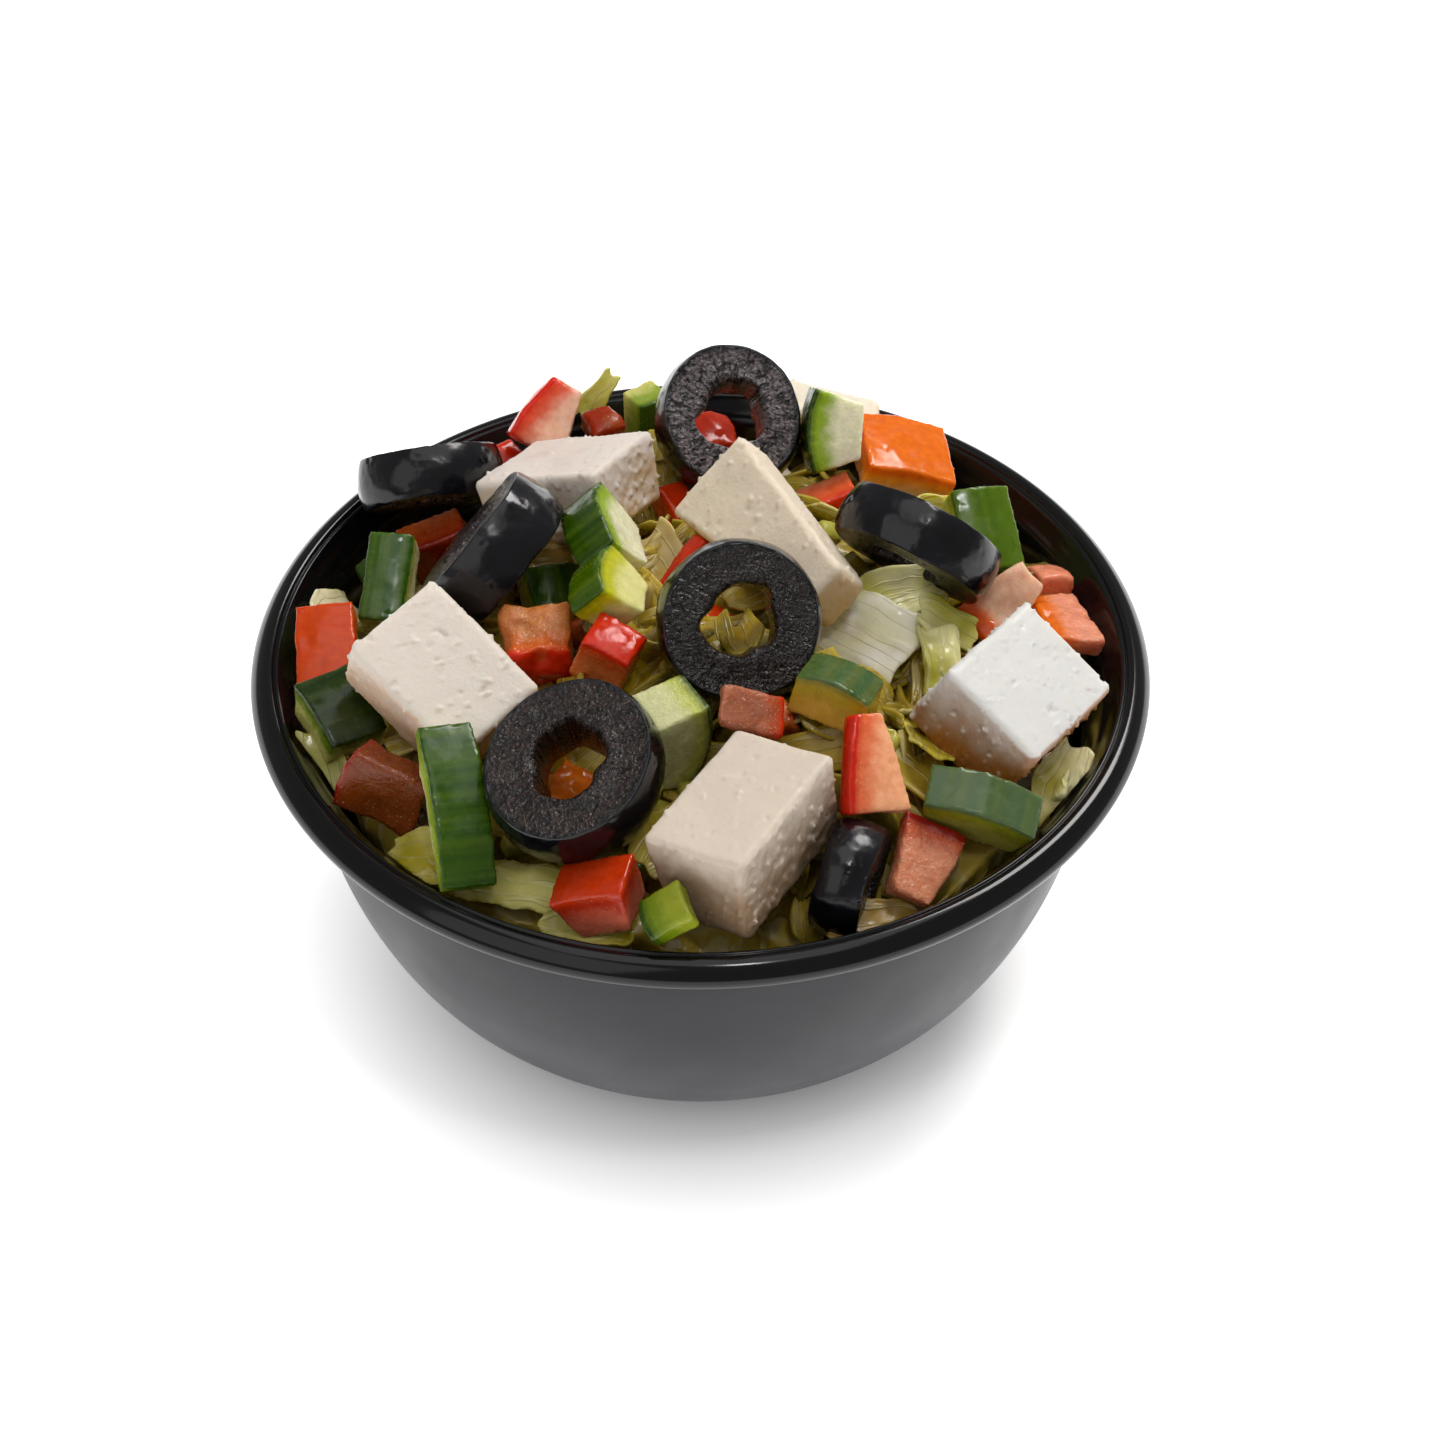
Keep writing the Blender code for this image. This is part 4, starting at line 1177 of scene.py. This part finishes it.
# %% The scatter tree
scatter, ends, out = new_group(
    "Scattered bits", "GeometryNodeTree",
    {"Core": (GEOMETRY, None), "Pieces": ("NodeSocketObject", None), "Bit": ("NodeSocketObject", None),
     "Spacing": (FLOAT, 0.003), "From": (FLOAT, 0.0), "To": (FLOAT, 1.0), "Room": (FLOAT, 0.001),
     "Reach": (FLOAT, 0.05), "Lift": (FLOAT, 0.0), "Tilt": (FLOAT, 0.4),
     "Smallest": (FLOAT, 0.7), "Largest": (FLOAT, 1.2), "Seed": (INTEGER, 0),
     "Material": (MATERIAL, None)}, {"Mesh": GEOMETRY})
normal = add(scatter, "GeometryNodeInputNormal").outputs[0]
rise = add(scatter, "ShaderNodeSeparateXYZ", {0: normal}).outputs[2]
faces_up = maths(scatter, "GREATER_THAN", rise, 0.2)
points = add(scatter, "GeometryNodeDistributePointsOnFaces", {
    "Mesh": ends.outputs["Core"], "Selection": faces_up, "Distance Min": ends.outputs["Spacing"],
    "Density Max": 400000.0, "Seed": ends.outputs["Seed"]}, distribute_method="POISSON")
raised = add(scatter, "GeometryNodeSetPosition", {"Geometry": points.outputs["Points"],
             "Offset": vector_maths(scatter, "SCALE", points.outputs["Normal"], ends.outputs["Lift"])})
pieces = add(scatter, "GeometryNodeObjectInfo", {"Object": ends.outputs["Pieces"]})
nearest = add(scatter, "GeometryNodeProximity", {"Geometry": pieces.outputs["Geometry"]})
crowded = maths(scatter, "LESS_THAN", nearest.outputs["Distance"], ends.outputs["Room"])
draw = add(scatter, "FunctionNodeRandomValue", {"Seed": ends.outputs["Seed"]}).outputs[1]
early = maths(scatter, "LESS_THAN", draw, ends.outputs["From"])
late = maths(scatter, "GREATER_THAN", draw, ends.outputs["To"])
where = add(scatter, "GeometryNodeInputPosition").outputs[0]
from_axis = add(scatter, "ShaderNodeVectorMath", {0: vector_maths(
    scatter, "MULTIPLY", where, (1.0, 1.0, 0.0))}, operation="LENGTH").outputs["Value"]
outside = maths(scatter, "GREATER_THAN", from_axis, ends.outputs["Reach"])
unwanted = maths(scatter, "MAXIMUM", crowded, maths(scatter, "MAXIMUM", early, late))
unwanted = maths(scatter, "MAXIMUM", unwanted, outside)
kept = add(scatter, "GeometryNodeDeleteGeometry", {"Geometry": raised.outputs[0], "Selection": unwanted})
tilt = ends.outputs["Tilt"]
least = add(scatter, "ShaderNodeCombineXYZ", {0: maths(scatter, "MULTIPLY", tilt, -1.0),
            1: maths(scatter, "MULTIPLY", tilt, -1.0), 2: 0.0}).outputs[0]
most = add(scatter, "ShaderNodeCombineXYZ", {0: tilt, 1: tilt, 2: 2 * math.pi}).outputs[0]
spin = add(scatter, "FunctionNodeRandomValue", {0: least, 1: most, "Seed": maths(
    scatter, "ADD", ends.outputs["Seed"], 1.0)}, data_type="FLOAT_VECTOR").outputs[0]
spin = add(scatter, "FunctionNodeEulerToRotation", {0: spin}).outputs[0]
turn = add(scatter, "FunctionNodeRotateRotation", {"Rotation": points.outputs["Rotation"],
           "Rotate By": spin}, rotation_space="LOCAL").outputs[0]
size = add(scatter, "FunctionNodeRandomValue", {2: ends.outputs["Smallest"], 3: ends.outputs["Largest"],
           "Seed": maths(scatter, "ADD", ends.outputs["Seed"], 2.0)}).outputs[1]
bit = add(scatter, "GeometryNodeObjectInfo", {"Object": ends.outputs["Bit"]})
placed = add(scatter, "GeometryNodeInstanceOnPoints", {"Points": kept.outputs[0],
             "Instance": bit.outputs["Geometry"], "Rotation": turn, "Scale": size})
real = add(scatter, "GeometryNodeRealizeInstances", {0: placed.outputs[0]})
dressed = add(scatter, "GeometryNodeSetMaterial", {"Geometry": real.outputs[0],
              "Material": ends.outputs["Material"]})
scatter.links.new(dressed.outputs[0], out.inputs["Mesh"])
print("scatter inputs:", [item.name for item in scatter.interface.items_tree][1:])


# %% Bits to scatter
def joined_pieces():
    """One object holding every finished piece of food, to keep the bits clear of them."""
    bm = bmesh.new()
    for obj in bpy.data.objects:
        if obj.type == "MESH" and obj.name not in frame["nodes"] and obj.name != "bed_core":
            bm.from_mesh(obj.data)
    mesh = bpy.data.meshes.new("all_pieces")
    bm.to_mesh(mesh)
    bm.free()
    return bpy.data.objects.new("all_pieces", mesh)


def cube_bit(name, size, unevenness, seed):
    """A small soft-edged cut cube, to be scattered."""
    bm = bmesh.new()
    bmesh.ops.create_cube(bm, size=1.0)
    bmesh.ops.bevel(bm, geom=bm.edges[:], offset=0.12, segments=1, affect="EDGES")
    bmesh.ops.subdivide_edges(bm, edges=bm.edges[:], cuts=1, use_grid_fill=True)
    dice_rng = np.random.default_rng(seed)
    for vert in bm.verts:
        vert.co = Vector(np.array(vert.co) * size * MM + dice_rng.normal(0, unevenness * MM, 3))
    mesh = bpy.data.meshes.new(name)
    bm.to_mesh(mesh)
    bm.free()
    return bpy.data.objects.new(name, mesh)


# %% Scatter them
SHREDS = [bpy.data.objects.new(f"shred_{i}", leaf_strip(f"shred_{i}", size, 1.2, i, (7, 2)))
          for i, size in enumerate(((14, 6), (10, 7)))]
# the bit, the first and last of the draws that pick it, the room it needs, its slot
BITS = {
    "shreds_long": (SHREDS[0], 0.0, 0.4, 0.3, "lettuce"),
    "shreds_short": (SHREDS[1], 0.4, 0.8, 0.3, "lettuce"),
    "tomato_bits": (cube_bit("red", (5.0, 4.0, 3.6), 0.16, 3), 0.8, 0.88, 2.3, "tomato"),
    "cucumber_bits": (cube_bit("green", (5.0, 4.0, 3.4), 0.12, 4), 0.88, 0.97, 2.3, "cucumber"),
    "feta_crumbs": (cube_bit("white", (2.4, 2.0, 1.8), 0.2, 5), 0.97, 1.0, 1.3, "feta"),
}
BIT_MATERIALS = {"lettuce": lettuce_leaf, "tomato": tomato_flesh, "cucumber": cucumber_flesh,
                 "feta": feta_cheese}
BIT_LOOKS = {
    "tomato": ((205, 60, 14), (198, 84, 26), (206, 112, 45), 0.6, 0.5),
    "cucumber": ((60, 84, 12), (170, 166, 50), (192, 180, 84), 0.6, 0.4),
}
everything = joined_pieces()
for name, (bit, first, last, room, slot) in BITS.items():
    bits = bpy.data.objects.new(name, core.data.copy())
    bpy.context.scene.collection.objects.link(bits)
    apply_tree(bits, scatter, {
        "Pieces": everything, "Bit": bit, "Spacing": 3.4 * MM, "From": first, "To": last,
        "Room": room * MM, "Reach": 44 * MM, "Lift": 0.9 * MM, "Tilt": 0.45 if slot == "lettuce" else 3.0,
        "Smallest": 0.7, "Largest": 1.1, "Seed": 11, "Material": BIT_MATERIALS[slot]})
    plain_mesh(bits)
    bits.data.shade_smooth()
    count = len(bits.data.vertices)
    if slot == "lettuce":
        paint_leaf(bits, (228, 212, 132), (182, 162, 44))
    elif slot == "feta":
        # the crumbs get an even half of the painted shade
        store(bits.data, "soak", np.full(count, 0.5))
        store_colour(bits.data, "curd", display(236, 226, 208))
        store_colour(bits.data, "stain", display(214, 190, 145))
    else:
        store(bits.data, "depth", np.full(count, 3.0))
        paint_chunk(bits, BIT_LOOKS[slot])
    show(bits, slot)
    print(name, len(bits.data.polygons), "faces")
bpy.data.objects.remove(everything)
for bit, *_ in BITS.values():
    bpy.data.objects.remove(bit)


# %% [markdown]
# ## The floor
# A plain pale floor, without a seam or a backdrop. Its material glows like a light table, a painted light,
# and the glow fades to dark under the bowl: a painted soft shadow close to the foot.

# %% Floor
bm = bmesh.new()
bmesh.ops.create_grid(bm, x_segments=1, y_segments=1, size=4.0)
sheet = bpy.data.meshes.new("floor")
bm.to_mesh(sheet)
bm.free()
floor = bpy.data.objects.new("floor", sheet)
bpy.context.scene.collection.objects.link(floor)
paper, tree, shader = new_material("Pale floor", Specular_IOR_Level=0.2, Emission_Strength=1.0)
fleck = use_group(tree, pattern, {"Size": 60.0, "Detail": 2.0, "Low": 0.0, "High": 1.0}).outputs[0]
tree.links.new(mix(tree, fleck, (0.86, 0.86, 0.86, 1), (0.9, 0.9, 0.9, 1)), shader.inputs["Base Color"])
from_foot = add(tree, "ShaderNodeVectorMath", {0: add(tree, "ShaderNodeTexCoord").outputs["Object"]},
                operation="LENGTH").outputs["Value"]
# painted light and shadow: the floor's glow, faded out towards the foot
painted_glow_and_shadow = ramp(tree, from_foot, 24 * MM, 68 * MM)
tree.links.new(mix(tree, painted_glow_and_shadow, (0.02, 0.02, 0.02, 1), (0.86, 0.86, 0.86, 1)),
               shader.inputs["Emission Color"])
tree.links.new(use_group(tree, moist, {"Grain": 3.0, "Height": 0.0, "Wet": 0.6, "Dry": 0.7}).outputs[0],
               shader.inputs["Roughness"])
floor.data.materials.append(paper)
